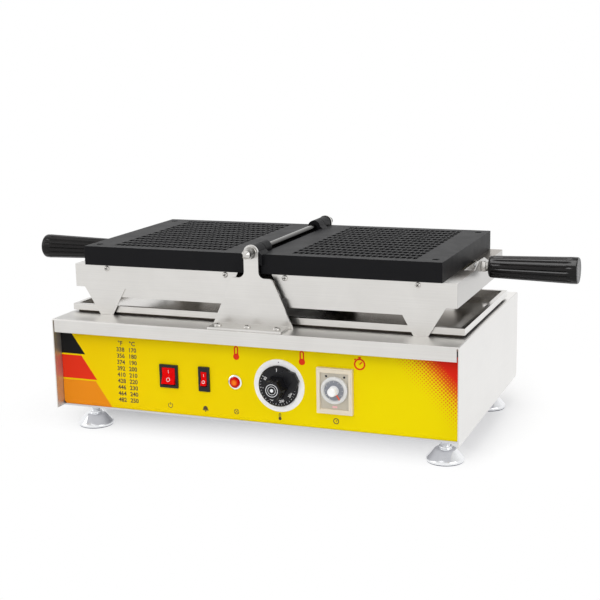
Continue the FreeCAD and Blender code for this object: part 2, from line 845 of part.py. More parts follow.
# Heating: a hairpin element under each plate, a clamp sheet and an insulation block below it
element_height = plate_bottom - s.heater_radius
clamp_top = plate_bottom - 2 * s.heater_radius
clamp_bottom = clamp_top - s.sheet
right_heater = new_body("right_heater")
profile = front_sketch(right_heater, -s.heater_start)
circle(profile, plate_middle - s.heater_spread, element_height, s.heater_radius)
path = top_sketch(right_heater, element_height)
run_end = s.heater_run - s.heater_start
open_path(path, [
    (plate_middle - s.heater_spread, -s.heater_start),
    (plate_middle - s.heater_spread, run_end - s.heater_corner),
    (plate_middle - s.heater_spread + s.heater_corner, run_end),
    (plate_middle + s.heater_spread - s.heater_corner, run_end),
    (plate_middle + s.heater_spread, run_end - s.heater_corner),
    (plate_middle + s.heater_spread, -s.heater_start),
])
pipe = right_heater.newObject("PartDesign::AdditivePipe", "right_heater_tube")
pipe.Profile = profile
pipe.Spine = path
pipe.Transition = "Right corner"
doc.recompute()
turned_copy(right_heater, "left_heater")

clamp_half = s.clamp_depth / 2
right_clamp = block("right_clamp", well_inner, well_outer, -clamp_half, clamp_half, clamp_bottom, clamp_top)
turned_copy(right_clamp, "left_clamp")
right_insulation = block(
    "right_insulation", well_inner, well_outer, -well_half, well_half, cover_bottom + s.sheet, clamp_bottom
)
turned_copy(right_insulation, "left_insulation")

# Handles: a stud through the pan's tab, a nut inside, a collar outside and a fluted grip
collar_end = pan_outer + s.collar_length
grip_end = collar_end + s.grip_length
stud_start = pan_outer - s.sheet - s.handle_stud_inside
right_stud = new_body("right_handle_stud")
sketch = side_sketch(right_stud, stud_start)
circle(sketch, 0, handle_height, s.handle_stud_radius)
pad(right_stud, sketch, collar_end + s.handle_stud_grip - stud_start)
turned_copy(right_stud, "left_handle_stud")

right_nut = new_body("right_handle_nut")
sketch = side_sketch(right_nut, pan_outer - s.sheet)
hexagon(sketch, 0, handle_height, s.handle_nut_width)
circle(sketch, 0, handle_height, s.handle_stud_radius + s.running_fit)
pad(right_nut, sketch, s.handle_nut_height, True)
turned_copy(right_nut, "left_handle_nut")

right_collar = new_body("right_collar")
sketch = side_sketch(right_collar, pan_outer)
circle(sketch, 0, handle_height, s.collar_radius)
circle(sketch, 0, handle_height, s.handle_stud_radius + s.running_fit)
pad(right_collar, sketch, s.collar_length)
turned_copy(right_collar, "left_collar")

right_grip = new_body("right_grip")
sketch = front_sketch(right_grip, 0)
polygon(sketch, [
    (collar_end, handle_height),
    (grip_end, handle_height),
    (grip_end, handle_height + s.grip_end_radius),
    (collar_end, handle_height + s.grip_start_radius),
])
axis = sketch.addGeometry(Part.LineSegment(Vector(0, 0, 0), Vector(1, 0, 0)), True)
pin_point(sketch, axis, 1, 0, handle_height)
pin_point(sketch, axis, 2, grip_end, handle_height)
revolve(right_grip, sketch, "Axis0")
bevel_edges(right_grip, s.grip_bevel, lambda middle, direction: near(middle.x, grip_end))
sections = []
slope = (s.grip_end_radius - s.grip_start_radius) / s.grip_length
for x in (collar_end + s.flute_start, grip_end - s.flute_end):
    sketch = side_sketch(right_grip, x)
    surface = s.grip_start_radius + slope * (x - collar_end)
    polygon(sketch, [
        (-s.flute_width, handle_height + surface + s.flute_depth),
        (0, handle_height + surface - s.flute_depth),
        (s.flute_width, handle_height + surface + s.flute_depth),
    ])
    sections.append(sketch)
flute = right_grip.newObject("PartDesign::SubtractiveLoft", "right_grip_flute")
flute.Profile = sections[0]
flute.Sections = [sections[1]]
doc.recompute()
axis_sketch = front_sketch(right_grip, 0)
axis = axis_sketch.addGeometry(Part.LineSegment(Vector(0, 0, 0), Vector(1, 0, 0)), True)
pin_point(axis_sketch, axis, 1, 0, handle_height)
pin_point(axis_sketch, axis, 2, grip_end, handle_height)
flutes = right_grip.newObject("PartDesign::PolarPattern", "right_grip_flutes")
flutes.Originals = [flute]
flutes.Axis = (axis_sketch, ["Axis0"])
flutes.Angle = 360
bind(flutes, "Occurrences", s.flute_count)
right_grip.Tip = flutes
doc.recompute()
sketch = side_sketch(right_grip, collar_end)
circle(sketch, 0, handle_height, s.handle_stud_radius + s.running_fit)
pocket(right_grip, sketch, s.handle_stud_grip + s.running_fit, True)
turned_copy(right_grip, "left_grip")

# Drip tray: a shallow tray with an open box hem, lying on the base between the rows of legs
tray_half_length = pan_outer + s.tray_margin
tray_half_depth = pan_half - s.sheet - s.tray_clearance
drip_tray = new_body("drip_tray")
body_length = tray_half_length - s.tray_hem
body_depth = tray_half_depth - s.tray_hem
sketch = top_sketch(drip_tray, base_top)
rectangle(sketch, -body_length, body_length, -body_depth, body_depth)
pad(drip_tray, sketch, s.tray_height)
sketch = top_sketch(drip_tray, base_top + s.tray_hem_gap)
rectangle(sketch, -tray_half_length, tray_half_length, -tray_half_depth, tray_half_depth)
pad(drip_tray, sketch, s.tray_height - s.tray_hem_gap)
sketch = top_sketch(drip_tray, base_top + s.tray_height)
well_length = body_length - s.tray_sheet
well_depth = body_depth - s.tray_sheet
rectangle(sketch, -well_length, well_length, -well_depth, well_depth)
pocket(drip_tray, sketch, s.tray_height - s.tray_sheet)
sketch = top_sketch(drip_tray, base_top + s.tray_hem_gap)
hem_length = tray_half_length - s.tray_sheet
hem_depth = tray_half_depth - s.tray_sheet
rectangle(sketch, -hem_length, hem_length, -hem_depth, hem_depth)
rectangle(sketch, -body_length, body_length, -body_depth, body_depth)
pocket(drip_tray, sketch, s.tray_height - s.tray_hem_gap - s.tray_sheet, True)


# Rocker switches: a frame with a well, and a rocker on two pivot pins
def make_switch(name, x, width, height, rocker_height):
    opening = width - 2 * s.switch_side_wall
    neck = width - s.switch_side_wall
    pivot_y = overlay_face + s.rocker_pivot_depth
    frame = new_body(f"{name}_switch_frame")
    sketch = front_sketch(frame, overlay_face)
    centred_rectangle(sketch, x, s.control_height, width, height)
    pad(frame, sketch, s.switch_bezel)
    sketch = front_sketch(frame, overlay_face)
    centred_rectangle(sketch, x, s.control_height, neck, s.switch_neck_height)
    pad(frame, sketch, s.switch_depth, True)
    sketch = front_sketch(frame, overlay_face - s.switch_bezel)
    centred_rectangle(sketch, x, s.control_height, opening, rocker_height)
    pocket(frame, sketch, s.rocker_well)
    half_pin = opening / 2 + s.rocker_pivot_reach
    sketch = side_sketch(frame, x - half_pin - s.running_fit)
    circle(sketch, pivot_y, s.control_height, s.rocker_pivot_radius + s.running_fit)
    pocket(frame, sketch, 2 * half_pin + 2 * s.running_fit, True)
    rocker = new_body(f"{name}_rocker")
    half_width = opening / 2 - s.rocker_clearance
    half_height = rocker_height / 2 - s.rocker_end_gap
    sketch = side_sketch(rocker, -half_width)
    polygon(sketch, [
        (-s.rocker_front, half_height),
        (s.rocker_dish - s.rocker_front, 0),
        (-s.rocker_front, -half_height),
        (s.rocker_pivot_radius, -half_height),
        (s.rocker_back, 0),
        (s.rocker_pivot_radius, half_height),
    ])
    pad(rocker, sketch, 2 * half_width)
    sketch = side_sketch(rocker, -half_pin)
    circle(sketch, 0, 0, s.rocker_pivot_radius)
    pad(rocker, sketch, 2 * half_pin)
    rocker.Placement = Placement(Vector(0, 0, 0), Rotation(Vector(1, 0, 0), dict(SIZES)["rocker_tilt"]))
    bind(rocker, "Placement.Base.x", x)
    bind(rocker, "Placement.Base.y", pivot_y)
    bind(rocker, "Placement.Base.z", s.control_height)


make_switch("main", s.main_switch_x, s.main_switch_width, s.main_switch_height, s.main_rocker_height)
make_switch("alarm", s.alarm_switch_x, s.alarm_switch_width, s.alarm_switch_height, s.alarm_rocker_height)

# Pilot lamp: a chrome bezel and a domed lens
lamp_bezel = new_body("lamp_bezel")
lamp_front = overlay_face - s.lamp_bezel
sketch = front_sketch(lamp_bezel, overlay_face)
circle(sketch, s.lamp_x, s.control_height, s.lamp_radius)
pad(lamp_bezel, sketch, s.lamp_bezel)
bevel_edges(lamp_bezel, s.lamp_bezel / 2, lambda middle, direction: near(middle.y, lamp_front))
sketch = front_sketch(lamp_bezel, lamp_front)
circle(sketch, s.lamp_x, s.control_height, s.lens_radius + s.running_fit)
pocket(lamp_bezel, sketch, s.lamp_recess)
sketch = front_sketch(lamp_bezel, overlay_face)
circle(sketch, s.lamp_x, s.control_height, s.lamp_neck_radius)
pad(lamp_bezel, sketch, s.lamp_neck_length, True)
lamp_lens = new_body("lamp_lens")
lens_seat = lamp_front + s.lamp_recess
sketch = front_sketch(lamp_lens, lens_seat)
circle(sketch, s.lamp_x, s.control_height, s.lens_radius)
pad(lamp_lens, sketch, s.lens_height)
lens_front = lens_seat - s.lens_height
bevel_edges(lamp_lens, s.lens_bevel, lambda middle, direction: near(middle.y, lens_front))

# Thermostat: the white dial plate, the knob with its pointer bar, and the body behind the panel
dial_plate = new_body("dial_plate")
sketch = front_sketch(dial_plate, overlay_face)
circle(sketch, s.dial_x, s.control_height, s.dial_radius)
circle(sketch, s.dial_x, s.control_height, s.knob_stem_radius + s.cutout_clearance)
pad(dial_plate, sketch, s.dial_thickness)

knob_back = overlay_face - s.dial_thickness - s.knob_gap
knob_front = knob_back - s.knob_thickness
thermostat_face = panel_face + s.sheet
thermostat_knob = new_body("thermostat_knob")
sketch = front_sketch(thermostat_knob, knob_back)
circle(sketch, s.dial_x, s.control_height, s.knob_radius)
pad(thermostat_knob, sketch, s.knob_thickness)
bevel_edges(thermostat_knob, s.knob_bevel, lambda middle, direction: near(middle.y, knob_front))
nose_angle = math.radians(dict(SIZES)["knob_nose_angle"])
nose_cos = math.cos(nose_angle)
nose_sin = math.sin(nose_angle)
tip = s.knob_nose_width / 2
root = s.knob_nose_root / 2
nose = [
    (s.knob_nose_reach, -tip),
    (s.knob_nose_reach, tip),
    (s.knob_nose_shoulder, root),
    (0, root),
    (0, -root),
    (s.knob_nose_shoulder, -root),
]
sketch = front_sketch(thermostat_knob, knob_back)
polygon(sketch, [
    (s.dial_x + out * nose_cos - aside * nose_sin, s.control_height + out * nose_sin + aside * nose_cos)
    for out, aside in nose
])
pad(thermostat_knob, sketch, s.knob_thickness + s.knob_nose_height)
grip_sections = []
for y, width in ((knob_front, s.knob_grip_root), (knob_front - s.knob_grip_height, s.knob_grip_end)):
    sketch = front_sketch(thermostat_knob, y)
    hexagon(sketch, s.dial_x, s.control_height, width)
    grip_sections.append(sketch)
grip = thermostat_knob.newObject("PartDesign::AdditiveLoft", "thermostat_knob_grip")
grip.Profile = grip_sections[0]
grip.Sections = [grip_sections[1]]
doc.recompute()
sketch = front_sketch(thermostat_knob, knob_back)
circle(sketch, s.dial_x, s.control_height, s.knob_stem_radius)
pad(thermostat_knob, sketch, thermostat_face + s.knob_stem_reach - knob_back, True)

thermostat_body = new_body("thermostat_body")
sketch = front_sketch(thermostat_body, thermostat_face)
circle(sketch, s.dial_x, s.control_height, s.thermostat_radius)
pad(thermostat_body, sketch, s.thermostat_depth, True)
sketch = front_sketch(thermostat_body, thermostat_face)
circle(sketch, s.dial_x, s.control_height, s.knob_stem_radius + s.running_fit)
pocket(thermostat_body, sketch, s.knob_stem_reach + s.knob_gap)

# Timer: a case with a square bezel, a turning dial and the small knob on it
timer_case = new_body("timer_case")
timer_front = overlay_face - s.timer_bezel
timer_seat = timer_front + s.timer_face_depth
sketch = front_sketch(timer_case, overlay_face)
centred_rectangle(sketch, s.timer_x, s.control_height, s.timer_width, s.timer_height)
pad(timer_case, sketch, s.timer_bezel)
sketch = front_sketch(timer_case, overlay_face)
centred_rectangle(sketch, s.timer_x, s.control_height, s.timer_case_width, s.timer_case_height)
pad(timer_case, sketch, s.timer_case_depth, True)
sketch = front_sketch(timer_case, timer_front)
centred_rectangle(sketch, s.timer_x, s.control_height, s.timer_face_width, s.timer_face_height)
pocket(timer_case, sketch, s.timer_face_depth)
timer_centre = s.control_height + s.timer_dial_rise
sketch = front_sketch(timer_case, timer_seat)
circle(sketch, s.timer_x, timer_centre, s.timer_stem_radius + s.running_fit)
pocket(timer_case, sketch, s.timer_stem_reach + s.timer_dial_gap)
timer_dial = new_body("timer_dial")
dial_back = timer_seat - s.timer_dial_gap
sketch = front_sketch(timer_dial, dial_back)
circle(sketch, s.timer_x, timer_centre, s.timer_dial_radius)
pad(timer_dial, sketch, s.timer_dial_thickness)
sketch = front_sketch(timer_dial, dial_back)
circle(sketch, s.timer_x, timer_centre, s.timer_stem_radius)
pad(timer_dial, sketch, s.timer_stem_reach, True)
timer_knob = new_body("timer_knob")
knob_seat = dial_back - s.timer_dial_thickness
sketch = front_sketch(timer_knob, knob_seat)
circle(sketch, s.timer_x, timer_centre, s.timer_knob_radius)
pad(timer_knob, sketch, s.timer_knob_height)
timer_knob_front = knob_seat - s.timer_knob_height
bevel_edges(timer_knob, s.timer_knob_bevel, lambda middle, direction: near(middle.y, timer_knob_front))

# Electrics inside the base: buzzer on the panel, terminal block on the floor, inlet gland at the rear
buzzer = new_body("buzzer")
sketch = front_sketch(buzzer, thermostat_face)
circle(sketch, s.buzzer_x, s.control_height, s.buzzer_radius)
pad(buzzer, sketch, s.buzzer_depth, True)
terminal_half = s.terminal_length / 2
terminal_rear = rear_face - s.terminal_setback
terminal_front = terminal_rear - s.terminal_width
terminal_top = floor_top + s.terminal_height
block("terminal_block", -terminal_half, terminal_half, terminal_front, terminal_rear, floor_top, terminal_top)
cable_gland = new_body("cable_gland")
inner_face = rear_face - s.sheet
sketch = front_sketch(cable_gland, inner_face - s.gland_nut_length)
circle(sketch, s.gland_x, s.gland_height, s.gland_radius)
pad(cable_gland, sketch, s.gland_nut_length + s.sheet + s.gland_reach, True)
for y, reverse in ((inner_face, False), (rear_face, True)):
    sketch = front_sketch(cable_gland, y)
    hexagon(sketch, s.gland_x, s.gland_height, 2 * s.gland_nut_radius)
    pad(cable_gland, sketch, s.gland_nut_length, reverse)
sketch = front_sketch(cable_gland, rear_face + s.gland_reach)
circle(sketch, s.gland_x, s.gland_height, s.gland_cap_radius)
pad(cable_gland, sketch, s.gland_cap_length)
sketch = front_sketch(cable_gland, inner_face - s.gland_nut_length)
circle(sketch, s.gland_x, s.gland_height, s.gland_bore)
pocket(cable_gland, sketch, 2 * s.gland_nut_length + s.sheet + s.gland_reach)

# Check every object, then write each piece to its own file
doc.recompute()
for item in doc.Objects:
    if "Invalid" in item.State or "Error" in item.State:
        raise RuntimeError(f"{item.Name} failed: {item.State}")
pieces = [item for item in doc.Objects if item.TypeId == "PartDesign::Body"]
pieces.append(hinge_shaft)
for piece in pieces:
    if piece.Shape.isNull() or not piece.Shape.isValid():
        raise RuntimeError(f"{piece.Label} has no valid shape")
os.makedirs("parts", exist_ok=True)
for piece in pieces:
    piece.Shape.exportStep(f"parts/{piece.Label}.step")
print(len(pieces), "pieces")
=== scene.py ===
# %% [markdown]
# # A two-plate waffle maker, dressed in Blender
# The machine is a steel box with controls on its front. Two lattice plates lie open on a shaft
# above it. The solids come from CAD as a fixed frame. This lesson gives them finishes, softens
# their edges and adds the small pieces that a catalogue photograph shows: screws, feet, knobs,
# printed marks and fluted grips.

# %% Load the frame
import json
import math
from collections import Counter

import bpy
from mathutils import Matrix, Vector

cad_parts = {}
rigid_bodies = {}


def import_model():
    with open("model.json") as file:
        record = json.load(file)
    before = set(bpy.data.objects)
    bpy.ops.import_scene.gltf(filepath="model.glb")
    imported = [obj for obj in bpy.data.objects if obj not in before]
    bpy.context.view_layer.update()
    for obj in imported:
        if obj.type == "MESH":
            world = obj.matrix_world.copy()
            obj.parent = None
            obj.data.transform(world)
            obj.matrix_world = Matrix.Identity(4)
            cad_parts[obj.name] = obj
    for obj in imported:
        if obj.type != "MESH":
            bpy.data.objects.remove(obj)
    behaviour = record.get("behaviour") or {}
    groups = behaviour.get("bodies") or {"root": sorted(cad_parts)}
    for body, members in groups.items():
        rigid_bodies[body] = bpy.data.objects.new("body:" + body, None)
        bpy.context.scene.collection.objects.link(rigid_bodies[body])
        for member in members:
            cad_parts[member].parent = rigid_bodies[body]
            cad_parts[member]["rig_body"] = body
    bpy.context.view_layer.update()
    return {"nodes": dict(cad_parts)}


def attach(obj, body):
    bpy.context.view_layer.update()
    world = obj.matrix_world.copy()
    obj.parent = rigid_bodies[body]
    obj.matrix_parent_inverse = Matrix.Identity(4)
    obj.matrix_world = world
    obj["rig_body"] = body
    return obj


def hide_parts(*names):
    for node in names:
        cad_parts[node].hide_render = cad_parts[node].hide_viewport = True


for leftover in list(bpy.data.objects):
    bpy.data.objects.remove(leftover)
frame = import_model()
nodes = frame["nodes"]

# %% [markdown]
# ## The camera
# The photograph was taken from a little above the base, to the right of its middle, with a long
# lens. A camera could be placed by eye with a Track To constraint. Here its three axes are written
# as a matrix, because the angles were measured from the picture, and a matrix holds the small roll
# as well.

# %% Camera
MM = 0.001
AZIMUTH, ELEVATION, ROLL = (math.radians(angle) for angle in (21.44, 11.83, 1.15))
AIM_HEIGHT = 145.45
DISTANCE, TO_RIGHT, TO_TOP = 1.68396, 0.01049, 0.01768


def mm(*values):
    """A place or direction given in millimetres, as Blender's metres."""
    return Vector(values) * MM


back = Vector((math.sin(AZIMUTH) * math.cos(ELEVATION), -math.cos(AZIMUTH) * math.cos(ELEVATION),
               math.sin(ELEVATION)))
right = Vector((math.cos(AZIMUTH), math.sin(AZIMUTH), 0))
up = back.cross(right)
eye = mm(0, 0, AIM_HEIGHT) + back * DISTANCE + right * TO_RIGHT + up * TO_TOP
rolled_right = right * math.cos(ROLL) - up * math.sin(ROLL)
rolled_axes = Matrix((rolled_right, back.cross(rolled_right), back)).transposed()
camera = bpy.data.objects.new("camera", bpy.data.cameras.new("camera"))
bpy.context.scene.collection.objects.link(camera)
camera.matrix_world = Matrix.Translation(eye) @ rolled_axes.to_4x4()
camera.data.lens = 73.89
camera.data.sensor_width = 36
camera.data.clip_start = 0.01
bpy.context.scene.camera = camera
bpy.context.scene.view_settings.view_transform = "Standard"
print("camera at", [round(v, 3) for v in eye])

# %% [markdown]
# ## Finishes: sums on wires
# A finish is a tree of nodes that ends in a shader. Trees can be wired by hand in the Shader
# Editor, one noodle at a time. Here a small class stands for a noodle, so that a sum of two outputs
# is written like a sum of two numbers, and each finish reads as a short recipe.


# %% Wires
class Wire:
    """A node's output. Sums on wires are written like sums on numbers, and each adds a node."""

    def __init__(self, tree, socket):
        self.tree, self.socket = tree, socket

    def __getitem__(self, name):
        """Another output of the same node."""
        return Wire(self.tree, self.socket.node.outputs[name])

    def math(self, operation, other=0.0):
        """What a Math node makes of this value and another."""
        return put(self.tree, "Math", {0: self, 1: other}, operation=operation)

    def __add__(self, other):
        return self.math("ADD", other)

    def __sub__(self, other):
        return self.math("SUBTRACT", other)

    def __mul__(self, other):
        return self.math("MULTIPLY", other)

    def __gt__(self, other):
        return self.math("GREATER_THAN", other)

    def __lt__(self, other):
        return self.math("LESS_THAN", other)

    def __or__(self, other):
        """The larger of the two."""
        return self.math("MAXIMUM", other)

    def __abs__(self):
        return self.math("ABSOLUTE")

    def part(self, letter):
        """The X, Y or Z of a vector."""
        return put(self.tree, "SeparateXYZ", {0: self})[letter]

    def spread(self, low, high, start=0.0, end=1.0):
        """Stretches a value that runs from start to end so that it runs from low to high."""
        return put(self.tree, "MapRange", {"Value": self, "From Min": start, "From Max": end,
                                           "To Min": low, "To Max": high})

    def tint(self, *colours):
        """A colour this share of the way between two, each a wire or red, green and blue."""
        first, second = ((*colour, 1) if isinstance(colour, tuple) else colour
                         for colour in colours)
        return put(self.tree, "Mix", {0: self, 6: first, 7: second}, data_type="RGBA")[2]


print("wires can be added, multiplied, compared, spread and tinted")


# %% Nodes
def plug(tree, node, inputs):
    """Fills a node's inputs, each with a value or with a wire."""
    for name, value in inputs.items():
        if isinstance(value, Wire):
            tree.links.new(value.socket, node.inputs[name])
        else:
            node.inputs[name].default_value = value


def put(tree, kind, inputs=None, **settings):
    """Adds one node with its settings and inputs, and returns the wire of its first output."""
    node = tree.nodes.new("ShaderNode" + kind)
    for name, value in settings.items():
        setattr(node, name, value)
    plug(tree, node, inputs or {})
    return Wire(tree, node.outputs[0])


print("nodes can be put and plugged")

# %% [markdown]
# ## Shared effects
# Brushed sheet has fine lines along its length, and they turn with the fold on the end walls.
# Handled metal and plastic carry a faint haze. Cast and moulded faces have a fine tooth, and dark
# finishes are paler at their edges, from wear and as a painted highlight. Each could be wired anew
# in every finish. Each is one node group instead, so a change to it reaches every finish that uses
# it.


# %% Brushed grain
def new_effect(name, values, results):
    """A new node group that takes a place and values, the wire of its place, and its outlet."""
    group = bpy.data.node_groups.new(name, "ShaderNodeTree")
    group.interface.new_socket("Vector", in_out="INPUT", socket_type="NodeSocketVector")
    for socket_name, value in values.items():
        socket = group.interface.new_socket(socket_name, in_out="INPUT",
                                            socket_type="NodeSocketFloat")
        socket.default_value = value
    for socket_name in results:
        group.interface.new_socket(socket_name, in_out="OUTPUT", socket_type="NodeSocketFloat")
    inlet, outlet = (group.nodes.new("NodeGroup" + end) for end in ("Input", "Output"))
    return group, Wire(group, inlet.outputs[0]), outlet


grain, inlet, outlet = new_effect("brushed grain", {"Across": 1500.0, "Along": 7.0},
                                  ["Streak", "End wall"])
along, across = inlet["Along"], inlet["Across"]
streaks = []
for scales in ((along, across, across), (across, along, across)):
    stretch = put(grain, "CombineXYZ", dict(enumerate(scales)))
    stretched = put(grain, "VectorMath", {0: inlet, 1: stretch}, operation="MULTIPLY")
    streaks.append(put(grain, "TexNoise", {"Vector": stretched, "Scale": 1.0, "Detail": 4.0,
                                           "Roughness": 0.65}))
end_wall = abs(put(grain, "NewGeometry")["Normal"].part("X")) > 0.7
streak = put(grain, "Mix", {0: end_wall, 2: streaks[0], 3: streaks[1]}, data_type="FLOAT")
plug(grain, outlet, {"Streak": streak.spread(0.0, 1.0, 0.3, 0.7), "End wall": end_wall})
print("brushed grain:", len(grain.nodes), "nodes")

# %% Haze, tooth, and edges paler from wear and painted highlight
haze, inlet, outlet = new_effect("handling haze", {"Size": 18.0}, ["Haze"])
cloud = put(haze, "TexNoise", {"Vector": inlet, "Scale": inlet["Size"], "Detail": 3.0,
                               "Distortion": 0.6})
plug(haze, outlet, {"Haze": cloud.spread(0.0, 1.0, 0.32, 0.68)})

tooth, inlet, outlet = new_effect("moulded tooth", {"Scale": 1400.0}, ["Tone", "Height"])
pattern = {"Vector": inlet, "Scale": inlet["Scale"]}
plug(tooth, outlet, {"Tone": put(tooth, "TexNoise", {**pattern, "Detail": 2.0}),
                     "Height": put(tooth, "TexVoronoi", pattern)["Distance"]})

# Edges are paler: partly wear, partly a painted highlight.
rubbed_and_lit, inlet, outlet = new_effect("worn edge", {"Width": 0.0012}, ["Wear"])
rounded = put(rubbed_and_lit, "Bevel", {"Radius": inlet["Width"]}, samples=4)
flat = put(rubbed_and_lit, "NewGeometry")["Normal"]
bend = put(rubbed_and_lit, "VectorMath", {0: rounded, 1: flat}, operation="DOT_PRODUCT")["Value"]
patches = put(rubbed_and_lit, "TexNoise", {"Vector": inlet, "Scale": 90.0, "Detail": 3.0})
wear_and_sheen = bend.spread(1.0, 0.0, 0.75, 0.99) * patches.spread(0.2, 1.0, 0.35, 0.65)
plug(rubbed_and_lit, outlet, {"Wear": wear_and_sheen})
print("effects:", [group.name for group in bpy.data.node_groups])

# %% [markdown]
# ## Metal finishes
# The base, posts and pans are brushed stainless sheet. The tray is the same sheet, polished. The
# feet are chromed, and the nuts are polished and a little darker. A ready-made steel could be
# picked for each. One recipe serves them all here: a metal shader whose colour and roughness follow
# the grain and the haze, with a shallow bump, because the lines are scratches and not paint.

# %% The recipe for metal
BATTER_AND_SHADE, UNDERSIDE_SHADE, LIT_STEEL = (0.045, 0.030, 0.020), (0.012, 0.011, 0.010), (0.86, 0.85, 0.83)
BATTER_DEPTH = (0.1585, 0.161)


def new_finish(name):
    """A new material, its tree, its shader and its Object coordinates."""
    material = bpy.data.materials.new(name)
    material.use_nodes = True
    tree = material.node_tree
    return material, tree, tree.nodes["Principled BSDF"], put(tree, "TexCoord")["Object"]


def effect(place, group, **inputs):
    """Places a shared effect in a finish and returns its first output."""
    return put(place.tree, "Group", {"Vector": place, **inputs}, node_tree=group)


def metal(name, dark, pale, smooth, rough, across=1500.0, along=7.0, scratch=0.06, haze_size=18.0,
          side_light=0.0, batter_and_shade_reach=0.0, lit_front=0.0, shade_below=None):
    """Brushed or polished metal. End walls, brushed across, are painted paler by side_light, as
    painted light. Batter has burnt onto the tray's floor within the distance batter_and_shade_reach
    from the middle, and this dark patch is also painted shade. A baked sheet is painted paler in
    front of the distance lit_front, as painted light. Painted shade darkens what is below the first
    height of shade_below and fades out at its second."""
    material, tree, shader, place = new_finish(name)
    streak = effect(place, grain, Across=across, Along=along)
    cloud = effect(place, haze, Size=haze_size)
    mixed = streak * 0.6 + cloud * 0.4
    bump = put(tree, "Bump", {"Strength": scratch, "Distance": 0.0002, "Height": streak})
    colour, roughness, metallic = mixed.tint(dark, pale), mixed.spread(smooth, rough), 1.0
    # Painted light: end walls are made paler.
    if side_light:
        colour = (streak["End wall"] * side_light).tint(colour, (1, 1, 1))
    # Painted light: in front of lit_front a baked sheet turns pale and rougher.
    if lit_front:
        front = place.part("Y").spread(1.0, 0.0, -lit_front, -0.6 * lit_front)
        colour = front.tint(colour, LIT_STEEL)
        roughness = roughness + front * 0.35
    # Painted shade: darker below a height.
    if shade_below:
        colour = place.part("Z").spread(0.95, 0.0, *shade_below).tint(colour, UNDERSIDE_SHADE)
    # Burnt batter and painted shade: the tray's floor is dark near its middle, under the hinge.
    if batter_and_shade_reach:
        ragged = abs(place.part("X")) + cloud * 0.05
        batter_and_shade = (ragged.spread(0.94, 0.0, batter_and_shade_reach * 0.5, batter_and_shade_reach)
                 * place.part("Z").spread(1.0, 0.0, *BATTER_DEPTH))
        colour = batter_and_shade.tint(colour, BATTER_AND_SHADE)
        roughness = roughness + batter_and_shade * 0.3
        metallic = batter_and_shade.spread(1.0, 0.0)
    plug(tree, shader, {"Base Color": colour, "Roughness": roughness, "Metallic": metallic,
                        "Normal": bump})
    return material


print("metal recipe ready")

# %% Metals
ROUND = {"across": 300.0, "along": 300.0, "scratch": 0.01, "haze_size": 60.0}
satin_sheet = metal("satin sheet", (0.66, 0.645, 0.62), (0.77, 0.755, 0.73), 0.27, 0.38,
                    side_light=0.35)
bright_sheet = metal("bright sheet", (0.56, 0.54, 0.51), (0.68, 0.66, 0.63), 0.10, 0.18,
                     scratch=0.03, batter_and_shade_reach=0.10)
# Painted shade: the base's floor is a darker sheet, as its edge lies in shade.
shaded_floor_sheet = metal("floor sheet", (0.58, 0.58, 0.60), (0.68, 0.68, 0.70), 0.30, 0.42)
# Painted light: the base's top is a paler sheet than its sides.
lit_top_sheet = metal("top sheet", (0.88, 0.865, 0.84), (0.96, 0.945, 0.92), 0.30, 0.42)
inner_sheet = metal("inner sheet", (0.60, 0.57, 0.54), (0.70, 0.67, 0.64), 0.46, 0.58)
# Heat tint and painted shade: a brown sheet for the shelves under the plates and covers'
# undersides.
baked_and_shaded_sheet = metal("baked sheet", (0.31, 0.275, 0.24), (0.40, 0.36, 0.32), 0.24, 0.34,
                    scratch=0.03, lit_front=0.115)
# Painted shade: the pans' end walls are a darker sheet.
shaded_end_sheet = metal("end sheet", (0.54, 0.53, 0.515), (0.62, 0.61, 0.595), 0.27, 0.38)
# Painted shade: near black, for the hinge gap, the posts' inner faces, the tray's hem and crosses.
painted_shade_sheet = metal("stained sheet", (0.030, 0.025, 0.020), (0.075, 0.060, 0.048), 0.36, 0.52)
chrome = metal("chrome", (0.82, 0.83, 0.85), (0.90, 0.91, 0.92), 0.05, 0.11, **ROUND)
polished_nut = metal("polished nut", (0.50, 0.485, 0.465), (0.62, 0.605, 0.58), 0.06, 0.12, **ROUND)
# Painted shade: the rod is darkened for the dark things it mirrors, and darker still underneath.
shaded_rod = metal("ground rod", (0.20, 0.197, 0.187), (0.28, 0.276, 0.263), 0.10, 0.18,
                   900.0, 900.0, 0.04, shade_below=(0.2530, 0.2562))
dull_zinc = metal("dull zinc", (0.52, 0.53, 0.55), (0.66, 0.67, 0.68), 0.30, 0.46,
                  500.0, 500.0, 0.05, 80.0)
heater_sheath = metal("heater sheath", (0.16, 0.14, 0.12), (0.28, 0.25, 0.22), 0.38, 0.55,
                      700.0, 700.0, 0.1)
print("metals:", [material.name for material in bpy.data.materials])

# %% [markdown]
# ## Coatings and plastics
# The plates carry a black non-stick coat, a little grey at the edges, from wear and as a painted
# highlight. The grips are a hard black resin, the switches and dials are moulded plastic. A flat
# colour could do for each, but looks like a drawing. All are the same recipe with other numbers: a
# speckled colour, a roughness that the haze varies, a fine tooth in the bump and paler edges.


# %% The recipe for plastics
def moulded(name, dark, pale, edge, smooth, rough, tooth_scale=1400.0, depth=0.05,
            edge_width=0.0006, specular=0.5):
    """A coating or a moulded plastic."""
    material, tree, shader, place = new_finish(name)
    fine = effect(place, tooth, Scale=tooth_scale)
    cloud = effect(place, haze, Size=40.0)
    wear_and_sheen = effect(place, rubbed_and_lit, Width=edge_width)
    body = (fine["Tone"] * 0.5 + cloud * 0.5).tint(dark, pale)
    bump = put(tree, "Bump", {"Strength": depth, "Distance": 0.0003, "Height": fine["Height"]})
    # Paler edges: partly wear, partly a painted highlight.
    plug(tree, shader, {"Base Color": (wear_and_sheen * 0.6).tint(body, edge), "Normal": bump,
                        "Roughness": cloud.spread(smooth, rough), "Specular IOR Level": specular})
    return material


